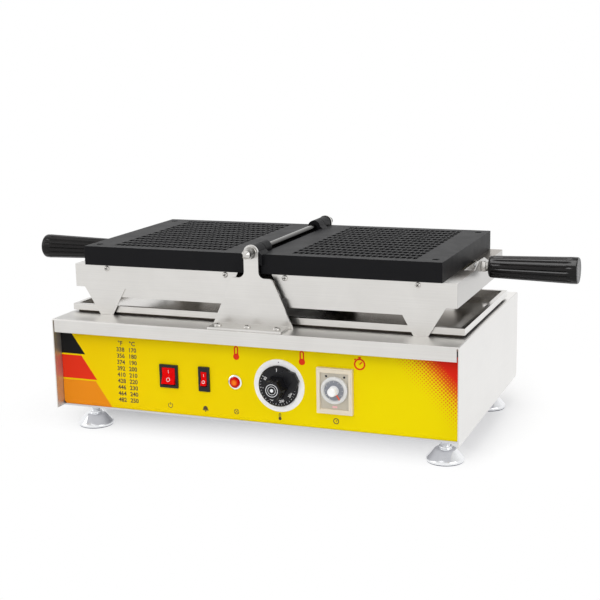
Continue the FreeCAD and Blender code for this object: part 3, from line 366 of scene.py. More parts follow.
print("plastic recipe ready")

# %% Dark coatings and plastics
plate_coat = moulded("plate coat", (0.006, 0.006, 0.007), (0.008, 0.008, 0.009),
                     (0.03, 0.03, 0.032), 0.43, 0.48, 2200.0, 0.10, 0.0009, 0.10)
grip_resin = moulded("grip resin", (0.004, 0.004, 0.004), (0.007, 0.006, 0.006), (0.02, 0.02, 0.02),
                     0.12, 0.19, 900.0, 0.01, specular=0.18)
# Painted highlight: the grips' ends are a paler resin.
lit_resin_end = moulded("resin end", (0.11, 0.11, 0.112), (0.14, 0.14, 0.143), (0.18, 0.18, 0.18),
                    0.40, 0.52)
black_plastic = moulded("black plastic", (0.010, 0.010, 0.012), (0.018, 0.018, 0.020),
                        (0.04, 0.04, 0.045), 0.30, 0.42, 1800.0, 0.06, specular=0.25)
knob_plastic = moulded("knob plastic", (0.005, 0.005, 0.006), (0.010, 0.010, 0.012),
                       (0.03, 0.03, 0.035), 0.20, 0.30, 1800.0, 0.03, specular=0.25)
grey_plastic = moulded("grey plastic", (0.20, 0.21, 0.24), (0.26, 0.27, 0.30), (0.36, 0.37, 0.40),
                       0.34, 0.46)
foot_pad = moulded("foot pad", (0.010, 0.016, 0.06), (0.016, 0.026, 0.09), (0.03, 0.04, 0.12),
                   0.55, 0.70)
print("dark coatings and plastics:", len(bpy.data.materials), "finishes so far")

# %% Pale and red plastics, fillings and inks
rocker_red = moulded("rocker red", (0.74, 0.002, 0.002), (0.84, 0.003, 0.003), (0.86, 0.02, 0.02),
                     0.16, 0.26, 1800.0, 0.02, specular=0.05)
pointer_red = moulded("pointer red", (0.80, 0.09, 0.03), (0.88, 0.13, 0.05), (0.9, 0.25, 0.15),
                      0.35, 0.45)
pale_pink = moulded("pale pink", (0.86, 0.45, 0.48), (0.92, 0.55, 0.57), (0.95, 0.7, 0.7),
                    0.30, 0.40)
white_plastic = moulded("white plastic", (0.91, 0.91, 0.92), (0.95, 0.95, 0.96), (0.96, 0.96, 0.96),
                        0.34, 0.46)
cream_plastic = moulded("cream plastic", (0.78, 0.69, 0.55), (0.84, 0.76, 0.62), (0.90, 0.85, 0.75),
                        0.36, 0.48)
beige_face = moulded("beige face", (0.52, 0.48, 0.40), (0.58, 0.54, 0.46), (0.66, 0.62, 0.55),
                     0.40, 0.52)
glazed_clay = moulded("glazed clay", (0.70, 0.68, 0.62), (0.80, 0.78, 0.72), (0.85, 0.83, 0.78),
                      0.22, 0.35)
wool_batt = moulded("wool batt", (0.46, 0.43, 0.30), (0.66, 0.62, 0.46), (0.70, 0.66, 0.52),
                    0.85, 0.95, 300.0, 0.8)
ink_brown = moulded("dark ink", (0.045, 0.024, 0.006), (0.07, 0.04, 0.012), (0.08, 0.05, 0.02),
                    0.40, 0.55)
ink_red = moulded("red ink", (0.74, 0.034, 0.008), (0.82, 0.046, 0.012), (0.84, 0.07, 0.02),
                  0.40, 0.55, specular=0.08)
ink_white = moulded("white ink", (0.76, 0.76, 0.77), (0.86, 0.86, 0.87), (0.88, 0.88, 0.88),
                    0.40, 0.55)
print("coatings, plastics and inks:", len(bpy.data.materials), "finishes so far")

# %% [markdown]
# ## Two clear plastics
# The pilot lamp's cap is red and looks lit from its middle, and the timer's dial wears a clear
# ring. Real glass could be used for both. A clear shader with a little colour is enough at this
# size, and a round fade about the lamp's own centre gives the glow.

# %% Lamp cap and clear ring
LAMP, CONTROLS = -18.8, 87.5
lamp_red, tree, shader, place = new_finish("lamp red")
from_x, from_z = place.part("X") - LAMP * MM, place.part("Z") - CONTROLS * MM
ripple = effect(place, tooth, Scale=500.0)
ragged = (from_x * from_x + from_z * from_z).math("SQRT") + ripple * 0.0016
glow = ragged.spread(1.0, 0.0, 0.0026, 0.0056)
plug(tree, shader, {"Base Color": glow.tint((0.64, 0.002, 0.001), (0.78, 0.17, 0.010)),
                    "Emission Color": glow.tint((0.10, 0.0, 0.0), (0.80, 0.20, 0.02)),
                    "Emission Strength": 0.25, "Roughness": ripple.spread(0.06, 0.16),
                    "Specular IOR Level": 0.06})

clear_ring, tree, shader, place = new_finish("clear ring")
cloud = effect(place, haze, Size=300.0)
plug(tree, shader, {"Base Color": cloud.tint((0.86, 0.86, 0.85), (0.93, 0.93, 0.92)),
                    "Roughness": cloud.spread(0.08, 0.18), "Transmission Weight": 0.20})
print("clear plastics: lamp red, clear ring")

# %% [markdown]
# ## The printed film
# A yellow film with plain corner prints covers the panel. An image could be laid on it with a UV
# map. The print is drawn with sums on the Object coordinates instead: three slanted bars at the
# left, and at the right a screen of dots that grow into solid red. Such sums stay sharp at any
# distance.

# %% Yellow film with three bars
FILM_TOP = 141.0
BAR_SLANT = -0.69
BARS = [(107, FILM_TOP, -249, (0.012, 0.012, 0.012)), (73, 105, -232, (0.78, 0.035, 0.012)),
        (30, 71, -209, (0.85, 0.27, 0.012))]
printed_film, tree, shader, place = new_finish("printed film")
film_x, film_z = place.part("X") * 1000.0, place.part("Z") * 1000.0
cloud = effect(place, haze, Size=12.0)
tone = film_x.spread(0.0, 1.0, -230.0, 120.0) * 0.8 + cloud * 0.2
printed = tone.tint((0.90, 0.62, 0.0), (0.90, 0.73, 0.0))
for low, high, end, bar_colour in BARS:
    slanted_end = (film_z - (low + high) / 2) * BAR_SLANT + end
    inside = (film_x < slanted_end) * (film_z > low) * (film_z < high)
    printed = inside.tint(printed, bar_colour)
print("film with", len(BARS), "bars:", len(tree.nodes), "nodes")

# %% Dot screen and film shader
DOT_PITCH, SCREEN_X, SCREEN_Z = 3.4, 183.5, 134.0
depth = (film_x - SCREEN_X) * 0.7266 + (film_z - SCREEN_Z) * 0.6875
offsets = [diagonal.math("DIVIDE", DOT_PITCH * math.sqrt(2)).math("FRACT") - 0.5
           for diagonal in (film_x + film_z, film_x - film_z)]
from_dot = (offsets[0] * offsets[0] + offsets[1] * offsets[1]).math("SQRT")
dotted = (from_dot < depth.spread(0.06, 0.76, 0.0, 52.0)) * (depth > 0.0)
dot_colour = depth.spread(0.0, 1.0, 12.0, 46.0).tint((0.86, 0.32, 0.012), (0.80, 0.022, 0.010))
printed = dotted.tint(printed, dot_colour)
# Painted shade: above the film's top, under the lip, grey on the left and near black on the right.
under_lip_shade = (film_x > 0.0).tint((0.62, 0.60, 0.57), (0.012, 0.011, 0.010))
fine = effect(place, tooth, Scale=1600.0)
bump = put(tree, "Bump", {"Strength": 0.04, "Distance": 0.0002, "Height": fine["Height"]})
plug(tree, shader, {"Base Color": (film_z > FILM_TOP).tint(printed, under_lip_shade), "Normal": bump,
                    "Roughness": cloud.spread(0.30, 0.42), "Specular IOR Level": 0.05})
print("printed film:", len(tree.nodes), "nodes")

# %% [markdown]
# ## Dressing the solids that keep their shape
# Pieces inside the machine, and a few plain ones outside, need only a finish. They could be
# modelled again with softer edges, but nobody sees them. Each solid's material slots are filled
# with the finish that its real counterpart has, and its mesh stays as it is.

# %% Finishes on CAD nodes
SIDES = ("left", "right")
kept = {"control_panel": satin_sheet, "base_floor": shaded_floor_sheet, "panel_overlay": printed_film,
        "terminal_block": glazed_clay, "thermostat_body": dull_zinc, "buzzer": black_plastic}
for side in SIDES:
    kept |= {side + "_heater": heater_sheath, side + "_clamp": dull_zinc,
             side + "_insulation": wool_batt, side + "_handle_stud": dull_zinc}
kept |= {name: dull_zinc for name in nodes if name.startswith("foot_nut")}


def dress(piece, finish):
    """Gives a piece one finish in all its slots."""
    if not piece.material_slots:
        piece.data.materials.append(finish)
    for slot in piece.material_slots:
        slot.material = finish
    return piece


for name, finish in kept.items():
    dress(nodes[name], finish)
print("kept solids:", len(kept))

# %% [markdown]
# ## Working in edit mode from code
# Modelling by hand goes: select, enter edit mode, pick faces, use a tool. Meshes could also be
# written point by point. The same tools as by hand are called here by name, and faces are picked by
# their middle and their normal, so the picks stay right when a size changes.


# %% Picking
def leave_edit():
    """Back to object mode."""
    bpy.ops.object.mode_set(mode="OBJECT")


def edit_all():
    """Enters edit mode on the active piece with everything selected."""
    bpy.ops.object.mode_set(mode="EDIT")
    bpy.ops.mesh.select_all(action="SELECT")


def deselect():
    """Back to object mode, with nothing selected."""
    if bpy.context.object and bpy.context.object.mode != "OBJECT":
        leave_edit()
    bpy.ops.object.select_all(action="DESELECT")


def work_on(piece):
    """Makes one piece the only selected and active object."""
    deselect()
    piece.select_set(True)
    bpy.context.view_layer.objects.active = piece


def pick(piece, kind, parts, test):
    """Enters edit mode with only those parts of a mesh selected that pass the test."""
    work_on(piece)
    bpy.ops.object.mode_set(mode="EDIT")
    bpy.ops.mesh.select_mode(type=kind)
    bpy.ops.mesh.select_all(action="DESELECT")
    leave_edit()
    for part in getattr(piece.data, parts):
        part.select = bool(test(part))
    bpy.ops.object.mode_set(mode="EDIT")


def pick_faces(piece, test):
    """Picks the faces whose middle and normal pass the test."""
    pick(piece, "FACE", "polygons", lambda face: test(face.center, face.normal))


def pick_points(piece, test):
    """Picks the points whose place passes the test."""
    pick(piece, "VERT", "vertices", lambda point: test(point.co))


print("picking helpers ready")


# %% Finishing and copying
def tidy(piece):
    """Merges doubles, turns all faces outwards and puts the piece's place into its mesh."""
    work_on(piece)
    bpy.ops.object.transform_apply(location=True, rotation=True, scale=True)
    edit_all()
    bpy.ops.mesh.remove_doubles(threshold=1e-6)
    bpy.ops.mesh.normals_make_consistent(inside=False)
    leave_edit()
    return piece


def soften(piece, width, angle=30):
    """Rounds the sharp edges with a bevel, if it has a width, and shades curves smooth. Large faces
    keep their level shading."""
    work_on(piece)
    if width:
        bevel = piece.modifiers.new("soft edges", "BEVEL")
        bevel.width = width * MM
        bevel.segments = 2
        bevel.limit_method = "ANGLE"
        bevel.angle_limit = math.radians(angle)
        bevel.harden_normals = False
        bpy.ops.object.modifier_apply(modifier=bevel.name)
    bpy.ops.object.shade_smooth_by_angle(angle=math.radians(angle))
    if width:
        level = piece.modifiers.new("level faces", "WEIGHTED_NORMAL")
        level.keep_sharp = True
        bpy.ops.object.modifier_apply(modifier=level.name)
    return piece


def settle(piece, body, slot, finish, *stands_for):
    """A finished piece gets its finish, its body, and the nodes that it stands for. Its slot is not
    used.
    """
    dress(piece, finish)
    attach(piece, body)
    if stands_for:
        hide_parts(*stands_for)
    return piece


def copy_to(piece, name, move):
    """A copy with its own mesh, moved by a matrix."""
    twin = piece.copy()
    twin.data = piece.data.copy()
    twin.name = name
    for key in list(twin.keys()):
        del twin[key]
    twin.parent = None
    twin.matrix_world = Matrix.Identity(4)
    bpy.context.scene.collection.objects.link(twin)
    twin.data.transform(move)
    return twin


print("finishing helpers ready")

# %% [markdown]
# ## Folded sheet and cast plates with soft edges
# No real edge is perfectly sharp: sheet has a bend, a casting is broken with a file. Sharp edges
# could be faked with a rounded normal in the finish. A bevel shows the thin bright line along each
# edge from all sides. A copy of each solid is merged, its flat faces are joined again from their
# triangles, and the bevel is applied. The copy then stands for the solid.

# %% Softened copies
FLAT = math.radians(0.6)


def merged_copy(node):
    """A copy of a CAD node with its loose triangles merged."""
    piece = copy_to(nodes[node], node + "_dressed", Matrix.Identity(4))
    piece.hide_render = False
    pick_points(piece, lambda point: True)
    bpy.ops.mesh.remove_doubles(threshold=2e-6)
    leave_edit()
    if piece.data.has_custom_normals:
        bpy.ops.mesh.customdata_custom_splitnormals_clear()
    return piece


def softened(node, width, slot, finish, angle=30):
    """A copy of a CAD node with rounded edges, which stands for it."""
    piece = merged_copy(node)
    pick_points(piece, lambda point: True)
    bpy.ops.mesh.dissolve_limited(angle_limit=FLAT)
    leave_edit()
    soften(piece, width, angle)
    return settle(piece, nodes[node]["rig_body"], slot, finish, node)


sheets = {"base_cover": softened("base_cover", 0.45, "stainless_steel", satin_sheet)}
for node in ("front_post", "rear_post", "rear_panel", "left_pan", "right_pan",
             "left_bottom_cover", "right_bottom_cover"):
    sheets[node] = softened(node, 0.4, "stainless_steel", satin_sheet)
sheets["drip_tray"] = softened("drip_tray", 0.35, "stainless_steel", bright_sheet)
print("sheet pieces:", {node: len(piece.data.polygons) for node, piece in sheets.items()})

# %% [markdown]
# ## The lattice of the plates
# Each plate's top is one flat face with hundreds of cells in it, and Blender's faces can't have
# holes. Limited Dissolve would leave a few huge faces that fold over themselves. So the top is
# bisected along both edges of each row of cells, and only then are the loose diagonals between
# those cuts dissolved.

# %% Plates
SCREW_ROWS = [-110 * MM, 110 * MM]
TOP_FACES, ROW_POINTS = 200, 40


def split_rows(piece):
    """Cuts a plate's top along its rows of cells and through its screws. Returns the cuts."""
    levels = Counter(round(face.center.z, 5) for face in piece.data.polygons
                     if face.normal.z > 0.99)
    top = max(z for z, count in levels.items() if count > TOP_FACES)
    rows = Counter(round(point.co.y, 5) for point in piece.data.vertices
                   if abs(point.co.z - top) < 1e-5)
    cuts = [y for y, count in rows.items() if count >= ROW_POINTS] + SCREW_ROWS

    def on_top(middle, normal):
        return normal.z > 0.99 and abs(middle.z - top) < 1e-5

    pick_faces(piece, lambda middle, normal: not on_top(middle, normal))
    bpy.ops.mesh.dissolve_limited(angle_limit=FLAT)
    for y in cuts:
        pick_faces(piece, on_top)
        bpy.ops.mesh.bisect(plane_co=(0, y, 0), plane_no=(0, 1, 0))
    leave_edit()
    top_sides = Counter(key for face in piece.data.polygons if on_top(face.center, face.normal)
                        for key in face.edge_keys)

    def loose(edge):
        ends = [piece.data.vertices[index].co.y for index in edge.vertices]
        along_cut = any(max(abs(end - y) for end in ends) < 1e-4 for y in cuts)
        return top_sides[edge.key] == 2 and not along_cut

    pick(piece, "EDGE", "edges", loose)
    bpy.ops.mesh.dissolve_edges(use_verts=False)
    leave_edit()
    return cuts


for side in SIDES:
    plate = merged_copy(side + "_plate")
    cuts = split_rows(plate)
    settle(soften(plate, 0.45), side + "_griddle", "coated_plate", plate_coat, side + "_plate")
    print(side, "plate:", len(cuts), "cuts,", len(plate.data.polygons), "faces")

# %% [markdown]
# ## Heat tint and painted shade on the sheet
# Fat and heat brown the sheet under the hinge, beside the plates and under the griddles, and these
# browns are also painted shade. The gap at the hinge and the posts' inner faces are painted near
# black, as shade. Such marks could be fades in the steel's own nodes. Here such faces get a second
# finish, as one does with Assign in the Material tab, because each mark ends at a fold.


# %% Second finishes
def assign(piece, finish, test):
    """Puts a second finish on the faces whose middle and normal pass the test."""
    piece.data.materials.append(finish)
    chosen = [face for face in piece.data.polygons if test(face.center, face.normal)]
    for face in chosen:
        face.material_index = len(piece.data.materials) - 1
    print(finish.name, "on", len(chosen), "faces of", piece.name)


def faces_out(middle, normal):
    """True for the outer faces of an upright wall."""
    return any(normal[i] * middle[i] > 0.7 * abs(middle[i]) for i in (0, 1))


print("second finishes can be assigned")

# %% Heat tint and painted shade on pans, covers and posts
PAN_TOP, PAN_END, HINGE_GAP = 224 * MM, 200 * MM, 44 * MM


def in_hinge_gap(middle, normal):
    """True for the faces beside the hinge that look at it."""
    return abs(middle.x) < HINGE_GAP and normal.x * middle.x < -0.6 * abs(middle.x)


for side in SIDES:
    pan, bottom_cover = sheets[side + "_pan"], sheets[side + "_bottom_cover"]
    assign(pan, baked_and_shaded_sheet,
           lambda middle, normal: normal.z > 0.9 and abs(middle.z - PAN_TOP) < 0.8 * MM)
    # Painted shade on the pans' end walls.
    assign(pan, shaded_end_sheet, lambda middle, normal: abs(middle.x) > PAN_END and abs(normal.x) > 0.7)
    assign(pan, painted_shade_sheet, in_hinge_gap)
    assign(bottom_cover, baked_and_shaded_sheet, lambda middle, normal: normal.z < -0.6)
    assign(bottom_cover, painted_shade_sheet, in_hinge_gap)
# Painted shade on the posts' inner faces, which look at the hinge.
for end in ("front", "rear"):
    assign(sheets[end + "_post"], painted_shade_sheet,
           lambda middle, normal: normal.y * middle.y < -0.9 * abs(middle.y))

# %% Marks on tray and base
COVER_SIDE = 270 * MM
tray, cover = sheets["drip_tray"], sheets["base_cover"]
tray_reach = [max(abs(point.co[i]) for point in tray.data.vertices) - 1.5 * MM for i in (0, 1)]
# Painted shadow: the tray's underside and its hem's hidden walls are near black, so the gap under
# the rim looks dark.
assign(tray, painted_shade_sheet, lambda middle, normal: normal.z < -0.2 or faces_out(middle, normal))
assign(tray, satin_sheet, lambda middle, normal: faces_out(middle, normal)
       and any(abs(middle[i]) > tray_reach[i] for i in (0, 1)))
assign(cover, inner_sheet,
       lambda middle, normal: abs(middle.x) > COVER_SIDE and normal.x * middle.x < -0.2)
# Painted light on the base's top faces.
assign(cover, lit_top_sheet, lambda middle, normal: normal.z > 0.9)

# %% [markdown]
# ## Round pieces, built up from a disc
# Feet, nuts, lenses and knobs are turned on a lathe. Blender's Spin would do, or a Screw modifier.
# Here a disc is extruded ring by ring along its axis, and each new ring is moved and scaled. The
# profile is then a plain list of heights and radii, which can be checked against a drawing.

# %% Turning helper
UPWARDS, FORWARDS, BACKWARDS, TO_THE_RIGHT = (0, 0, 1), (0, -1, 0), (0, 1, 0), (1, 0, 0)


def turned(name, seat, axis, rings, sides):
    """A round piece from (height, radius) rings in millimetres, from the seat along its axis."""
    axis = Vector(axis)
    deselect()
    height, radius = rings[0]
    centre = seat + axis * height * MM
    bpy.ops.mesh.primitive_circle_add(vertices=sides, radius=radius * MM, fill_type="NGON",
                                      location=centre,
                                      rotation=axis.to_track_quat("Z", "X").to_euler())
    piece = bpy.context.object
    piece.name = name
    edit_all()
    for next_height, next_radius in rings[1:]:
        step = axis * (next_height - height) * MM
        centre = centre + step
        bpy.ops.mesh.extrude_region_move(TRANSFORM_OT_translate={"value": step})
        scale = next_radius / radius
        bpy.ops.transform.resize(value=(scale, scale, scale), center_override=centre)
        height, radius = next_height, next_radius
    leave_edit()
    return tidy(piece)


print("turning helper ready")

# %% [markdown]
# ## Levelling feet
# Each foot is a chromed cone on a threaded stud, with a thin dark pad under it. A cone primitive
# would miss the rounded rim and the thread. The foot is turned once, and three copies go to the
# other corners.

# %% Feet
THREAD_START, PITCH, CREST, ROOT = 20.4, 1.5, 5.9, 5.4
foot_rings = [(0.9, 22.6), (1.3, 23.5), (2.2, 24.0), (4.0, 24.0), (5.0, 23.5), (5.9, 22.6),
              (11.0, 18.2), (15.4, 14.4), (16.4, 13.2), (17.0, 11.6), (17.1, 8.3), (17.6, 8.5),
              (19.5, 8.5), (20.0, 8.0), (20.0, CREST)]
for thread_turn in range(19):
    height = THREAD_START + thread_turn * PITCH
    foot_rings += [(height, CREST), (height + PITCH / 2, ROOT)]
foot_rings += [(48.9, CREST), (49.5, 5.2)]
pad_rings = [(0.0, 22.2), (0.4, 23.0), (0.9, 23.0), (0.95, 21.0)]
foot_seat = mm(-246, -119, 0)
foot = soften(turned("foot_front_left_turned", foot_seat, UPWARDS, foot_rings, 64), 0, angle=32)
pad = soften(turned("foot_front_left_pad", foot_seat, UPWARDS, pad_rings, 64), 0)
feet = {"foot_front_left": (foot, pad)}
for body, x, y in (("foot_front_right", 492, 0), ("foot_rear_left", 0, 238),
                   ("foot_rear_right", 492, 238)):
    move = Matrix.Translation(mm(x, y, 0))
    feet[body] = copy_to(foot, body + "_turned", move), copy_to(pad, body + "_pad", move)
for body, (cone, sole) in feet.items():
    settle(cone, body, "bright_steel", chrome, body)
    settle(sole, body, "black_plastic", foot_pad)
print("feet:", len(foot.data.polygons), "faces each")

# %% [markdown]
# ## Fluted grips
# The handles are moulded resin, thicker towards the end, with flutes that stop short of both ends.
# A boolean could cut each flute. It is simpler to turn the grip with eight points to a flute, pick
# the points of each groove along the length, and scale them towards the axis.

# %% Grips
HALF_TURN = Matrix.Rotation(math.pi, 4, "Z")
HANDLE = 223.0
FLUTES = 16
FLUTE_START, FLUTE_END, GRIP_END = 278 * MM, 376 * MM, 380 * MM
grip_axis = mm(272, 0, HANDLE)
grip_rings = [(0, 11.6), (0.6, 13.0), (1.8, 13.8), (4.5, 14.1), (7.0, 14.2)]
grip_rings += [(7 + 11.4 * step, 14.2 + 0.305 * step) for step in range(1, 9)]
grip_rings += [(103, 16.8), (106, 16.92), (110.6, 16.85), (112.0, 16.3), (112.8, 15.4), (113, 14.4),
               (112.8, 13.4)]


def in_groove(point, eighths):
    """True for the points of a grip's grooves, so many eighths of a flute off their bottom."""
    angle = math.atan2(point.z - grip_axis.z, point.y) / (2 * math.pi) * FLUTES * 8
    return round(angle) % 8 in eighths and FLUTE_START < point.x < FLUTE_END


def both_sides(piece, slot, finish, node=""):
    """Settles a piece on the right griddle and its copy on the left one. Returns both."""
    twin = copy_to(piece, piece.name.replace("right", "left"), HALF_TURN)
    for side, made in (("right", piece), ("left", twin)):
        settle(made, side + "_griddle", slot, finish, *([side + node] if node else []))
    return piece, twin


grip = turned("right_grip_fluted", grip_axis, TO_THE_RIGHT, grip_rings, FLUTES * 8)
for eighths, scale in (((0,), 0.92), ((1, 7), 0.955)):
    pick_points(grip, lambda point: in_groove(point, eighths))
    bpy.ops.transform.resize(value=(1, scale, scale), center_override=grip_axis)
leave_edit()
grips = both_sides(soften(grip, 0, angle=40), "black_plastic", grip_resin, "_grip")
for piece in grips:
    # Painted highlight on the grips' ends.
    assign(piece, lit_resin_end, lambda middle, normal: abs(middle.x) > GRIP_END
           and normal.x * middle.x > 0.6 * abs(middle.x))
print("grips:", len(grip.data.polygons), "faces each")

# %% [markdown]
# ## Shaft, cap nuts and handle hardware
# The two plates hang on one ground rod, held by a domed nut and a washer at each end. Each handle
# is locked on its tab by a nut inside and a nut outside, with a short ferrule up to the grip.
# Hexagons could be cylinders with six sides. They are six-sided turnings with their corners taken
# off; the domed nuts keep the CAD's form, with soft edges.

# %% Shaft and nuts
HINGE, ROD_START, WASHER_SEAT = 251.5, -150.2, -137.2
rod = turned("hinge_rod", mm(0, ROD_START, HINGE), BACKWARDS,
             [(0, 3.2), (0.8, 4.0), (299.6, 4.0), (300.4, 3.2)], 40)
settle(soften(rod, 0), "base", "bright_steel", shaded_rod, "hinge_shaft")
washer = turned("front_washer", mm(0, WASHER_SEAT, HINGE), FORWARDS,
                [(0, 7.6), (0.3, 7.9), (0.9, 7.9), (1.2, 7.6)], 40)
for piece in (washer, copy_to(soften(washer, 0), "rear_washer", HALF_TURN)):
    settle(piece, "base", "bright_steel", polished_nut)
for node in ("front_cap_nut", "rear_cap_nut"):
    cap_nut = softened(node, 0.3, "bright_steel", polished_nut, angle=25)
    # Painted reflection and shade: the nuts' sides get the darkened rod finish, near black low
    # down.
    assign(cap_nut, shaded_rod, lambda middle, normal: abs(normal.y) < 0.45)
print("shaft, washers and cap nuts ready")

# %% Handle hardware
outer_nut = turned("right_outer_nut", mm(262, 0, HANDLE), TO_THE_RIGHT,
                   [(0, 6.6), (0.5, 7.4), (5.6, 7.4), (6.2, 6.6), (6.2, 5.6)], 6)
soften(outer_nut, 0.25)
ferrule = turned("right_ferrule", mm(268, 0, HANDLE), TO_THE_RIGHT,
                 [(0, 5.4), (0.4, 6.2), (1.5, 6.2), (1.9, 5.7), (2.3, 6.4), (4.0, 6.4)], 32)
soften(ferrule, 0)
both_sides(outer_nut, "bright_steel", polished_nut, "_collar")
both_sides(ferrule, "bright_steel", polished_nut)
for node in ("left_handle_nut", "right_handle_nut"):
    softened(node, 0.3, "bright_steel", polished_nut)
print("handle hardware ready")

# %% [markdown]
# ## Screws
# Cross-head screws hold the pans to the plates and the rear panel to the base, and larger ones hold
# the posts. A screw head could be a bump in a texture, but its rim catches the light. It is turned,
# and its cross is cut with a boolean by two crossed bars. One head is made for each size and copied
# to every hole.


# %% Screw heads
def cut_away(piece, cutter):
    """Takes one closed shape out of another and removes the cutter."""
    work_on(piece)
    cut = piece.modifiers.new("recess", "BOOLEAN")
    cut.object = cutter
    cut.use_self = True
    bpy.ops.object.modifier_apply(modifier=cut.name)
    bpy.data.objects.remove(cutter)
    return piece


def cross_head(name, radius, rise):
    """A domed screw head on the origin that faces -Y, with a cross recess."""
    rings = [(0, radius), (rise * 0.4, radius), (rise * 0.7, radius * 0.9),
             (rise * 0.9, radius * 0.68), (rise, radius * 0.36)]
    head = turned(name, Vector(), FORWARDS, rings, 28)
    deselect()
    bpy.ops.mesh.primitive_cube_add(size=1, location=mm(0, -rise, 0),
                                    scale=mm(radius * 0.24, rise, radius * 1.15))
    cutter = bpy.context.object
    bpy.ops.object.mode_set(mode="EDIT")
    bpy.ops.mesh.duplicate()
    bpy.ops.transform.rotate(value=math.pi / 2, orient_axis="Y", center_override=mm(0, -rise, 0))
    leave_edit()
    soften(cut_away(head, cutter), 0, angle=35)
    dress(head, polished_nut)

    def in_cross(middle, normal):
        near_middle = math.hypot(middle.x, middle.z) < radius * 0.62 * MM
        sunk = abs(normal.y) < 0.5 or middle.y > -0.6 * rise * MM
        return near_middle and sunk and normal.y < 0.5

    # Painted shade: the faces inside the cross get the near-black sheet.
    assign(head, painted_shade_sheet, in_cross)
    return head


pan_screw = cross_head("pan_screw", 3.7, 2.2)
post_screw = cross_head("post_screw", 5.0, 2.8)
print("screw heads:", len(pan_screw.data.polygons), len(post_screw.data.polygons), "faces")

# %% Screws in place
FACE_UP = Matrix.Rotation(-math.pi / 2, 4, "X")
PAN_HOLES, POST_FOOT, REAR_FACE = 219.6, 160, 154
screws = []


def place_screw(head, name, body, x, y, z, turn):
    """A copy of a screw head in its place, with painted shade in its cross."""
    move = Matrix.Translation(mm(x, y, z)) @ turn
    screw = settle(copy_to(head, name, move), body, "bright_steel", polished_nut)
    screw.material_slots[1].material = painted_shade_sheet
    screws.append(screw)


for side, sign in (("right", 1), ("left", -1)):
    for place_name, x in (("inner", 41), ("outer", 213)):
        for end, y in (("front", -126), ("rear", 126)):
            turn = Matrix.Rotation(math.radians(17 * len(screws)), 4, "Y")
            place_screw(pan_screw, f"{side}_pan_screw_{place_name}_{end}", f"{side}_griddle",
                        sign * x, y, PAN_HOLES, HALF_TURN @ turn if y > 0 else turn)
for end, y in (("front", -155), ("rear", 155)):
    for number, x in enumerate((-40, 0, 40), 1):
        turn = Matrix.Rotation(math.radians(31 * number), 4, "Z")
        place_screw(post_screw, f"{end}_post_screw_{number}", "base", x, y, POST_FOOT,
                    turn @ FACE_UP)
rear_holes = [(x, z) for x in (-258, 0, 258) for z in (46, 134)]
for number, (x, z) in enumerate(rear_holes, 1):
    place_screw(pan_screw, f"rear_panel_screw_{number}", "base", x, REAR_FACE, z, HALF_TURN)
for head in (pan_screw, post_screw):
    bpy.data.objects.remove(head)
print("screws:", len(screws))

# %% [markdown]
# ## Socket screws in the plates
# Two dark screws sink into each plate near its outer corners. Their tops have a six-sided socket
# for a key. The socket could be an inset of six faces. A six-sided turning is cut out of the head
# instead, so that the head's rim stays round.

# %% Plate screws
screw_seat = mm(231, -110, 246.5)
socket_screw = turned("right_plate_screw_front", screw_seat, UPWARDS,
                      [(0, 4.2), (1.5, 4.2), (1.9, 3.8)], 32)
key = turned("socket_key", screw_seat, UPWARDS, [(0.6, 2.3), (2.4, 2.3)], 6)
soften(cut_away(socket_screw, key), 0.1)
plate_screws = [socket_screw]
for name, x, y in (("right_plate_screw_rear", 0, 220), ("left_plate_screw_front", -462, 0),
                   ("left_plate_screw_rear", -462, 220)):
    plate_screws.append(copy_to(socket_screw, name, Matrix.Translation(mm(x, y, 0))))
for piece in plate_screws:
    settle(piece, piece.name.split("_")[0] + "_griddle", "black_plastic", plate_coat)
print("plate screws:", len(plate_screws))

# %% [markdown]
# ## Rocker switches
# Each switch is a black frame with a red rocker that stands proud at its lower end. The solids have
# the right form, so they get soft edges. The printed line and ring could be drawn in the finish.
# They are thin raised marks, laid on the two slopes of the rocker with one turn each, since a flat
# mark would sink into the slope.


# %% Flat marks
def flat_plane(name, width, height):
    """A rectangle in the XZ plane round the origin, in edit mode with all of it selected."""
    deselect()
    bpy.ops.mesh.primitive_plane_add(size=1, rotation=(math.pi / 2, 0, 0))
    piece = bpy.context.object
    piece.name = name
    piece.scale = mm(width, height, 1)
    bpy.ops.object.transform_apply(rotation=True, scale=True)
    edit_all()
    return piece


def raised(piece, line, thick):
    """Makes a flat shape in edit mode thick towards -Y. With a line, only its rim stays."""
    if line:
        bpy.ops.mesh.inset(thickness=line * MM)
        bpy.ops.mesh.delete(type="FACE")
        bpy.ops.mesh.select_all(action="SELECT")
    bpy.ops.mesh.extrude_region_move(TRANSFORM_OT_translate={"value": mm(0, -thick, 0)})
    return tidy(piece)


def bar_mark(name, width, height, thick=0.06):
    """A thin bar in the XZ plane round the origin, with cut corners, that faces -Y."""
    piece = flat_plane(name, width, height)
    bpy.ops.mesh.bevel(offset=min(width, height) * 0.2 * MM, affect="VERTICES", segments=2)
    bpy.ops.mesh.select_all(action="SELECT")
    return raised(piece, 0, thick)


def ring_mark(name, radius, line, thick=0.06, sides=40):
    """A thin ring in the XZ plane round the origin that faces -Y, or with no line a disc."""
    deselect()
    bpy.ops.mesh.primitive_circle_add(vertices=sides, radius=radius * MM, fill_type="NGON",
                                      rotation=(math.pi / 2, 0, 0))
    piece = bpy.context.object
    piece.name = name
    edit_all()
    return raised(piece, line, thick)


print("flat marks can be made")


# %% Laying and joining marks
def lay(piece, x, y, z, tilt=0.0, spin=0.0):
    """Puts a flat mark in its place, tilted about X and spun in its own plane, in degrees."""
    move = Matrix.Translation(mm(x, y, z)) @ Matrix.Rotation(math.radians(tilt), 4, "X")
    piece.data.transform(move @ Matrix.Rotation(math.radians(-spin), 4, "Y"))
    return piece


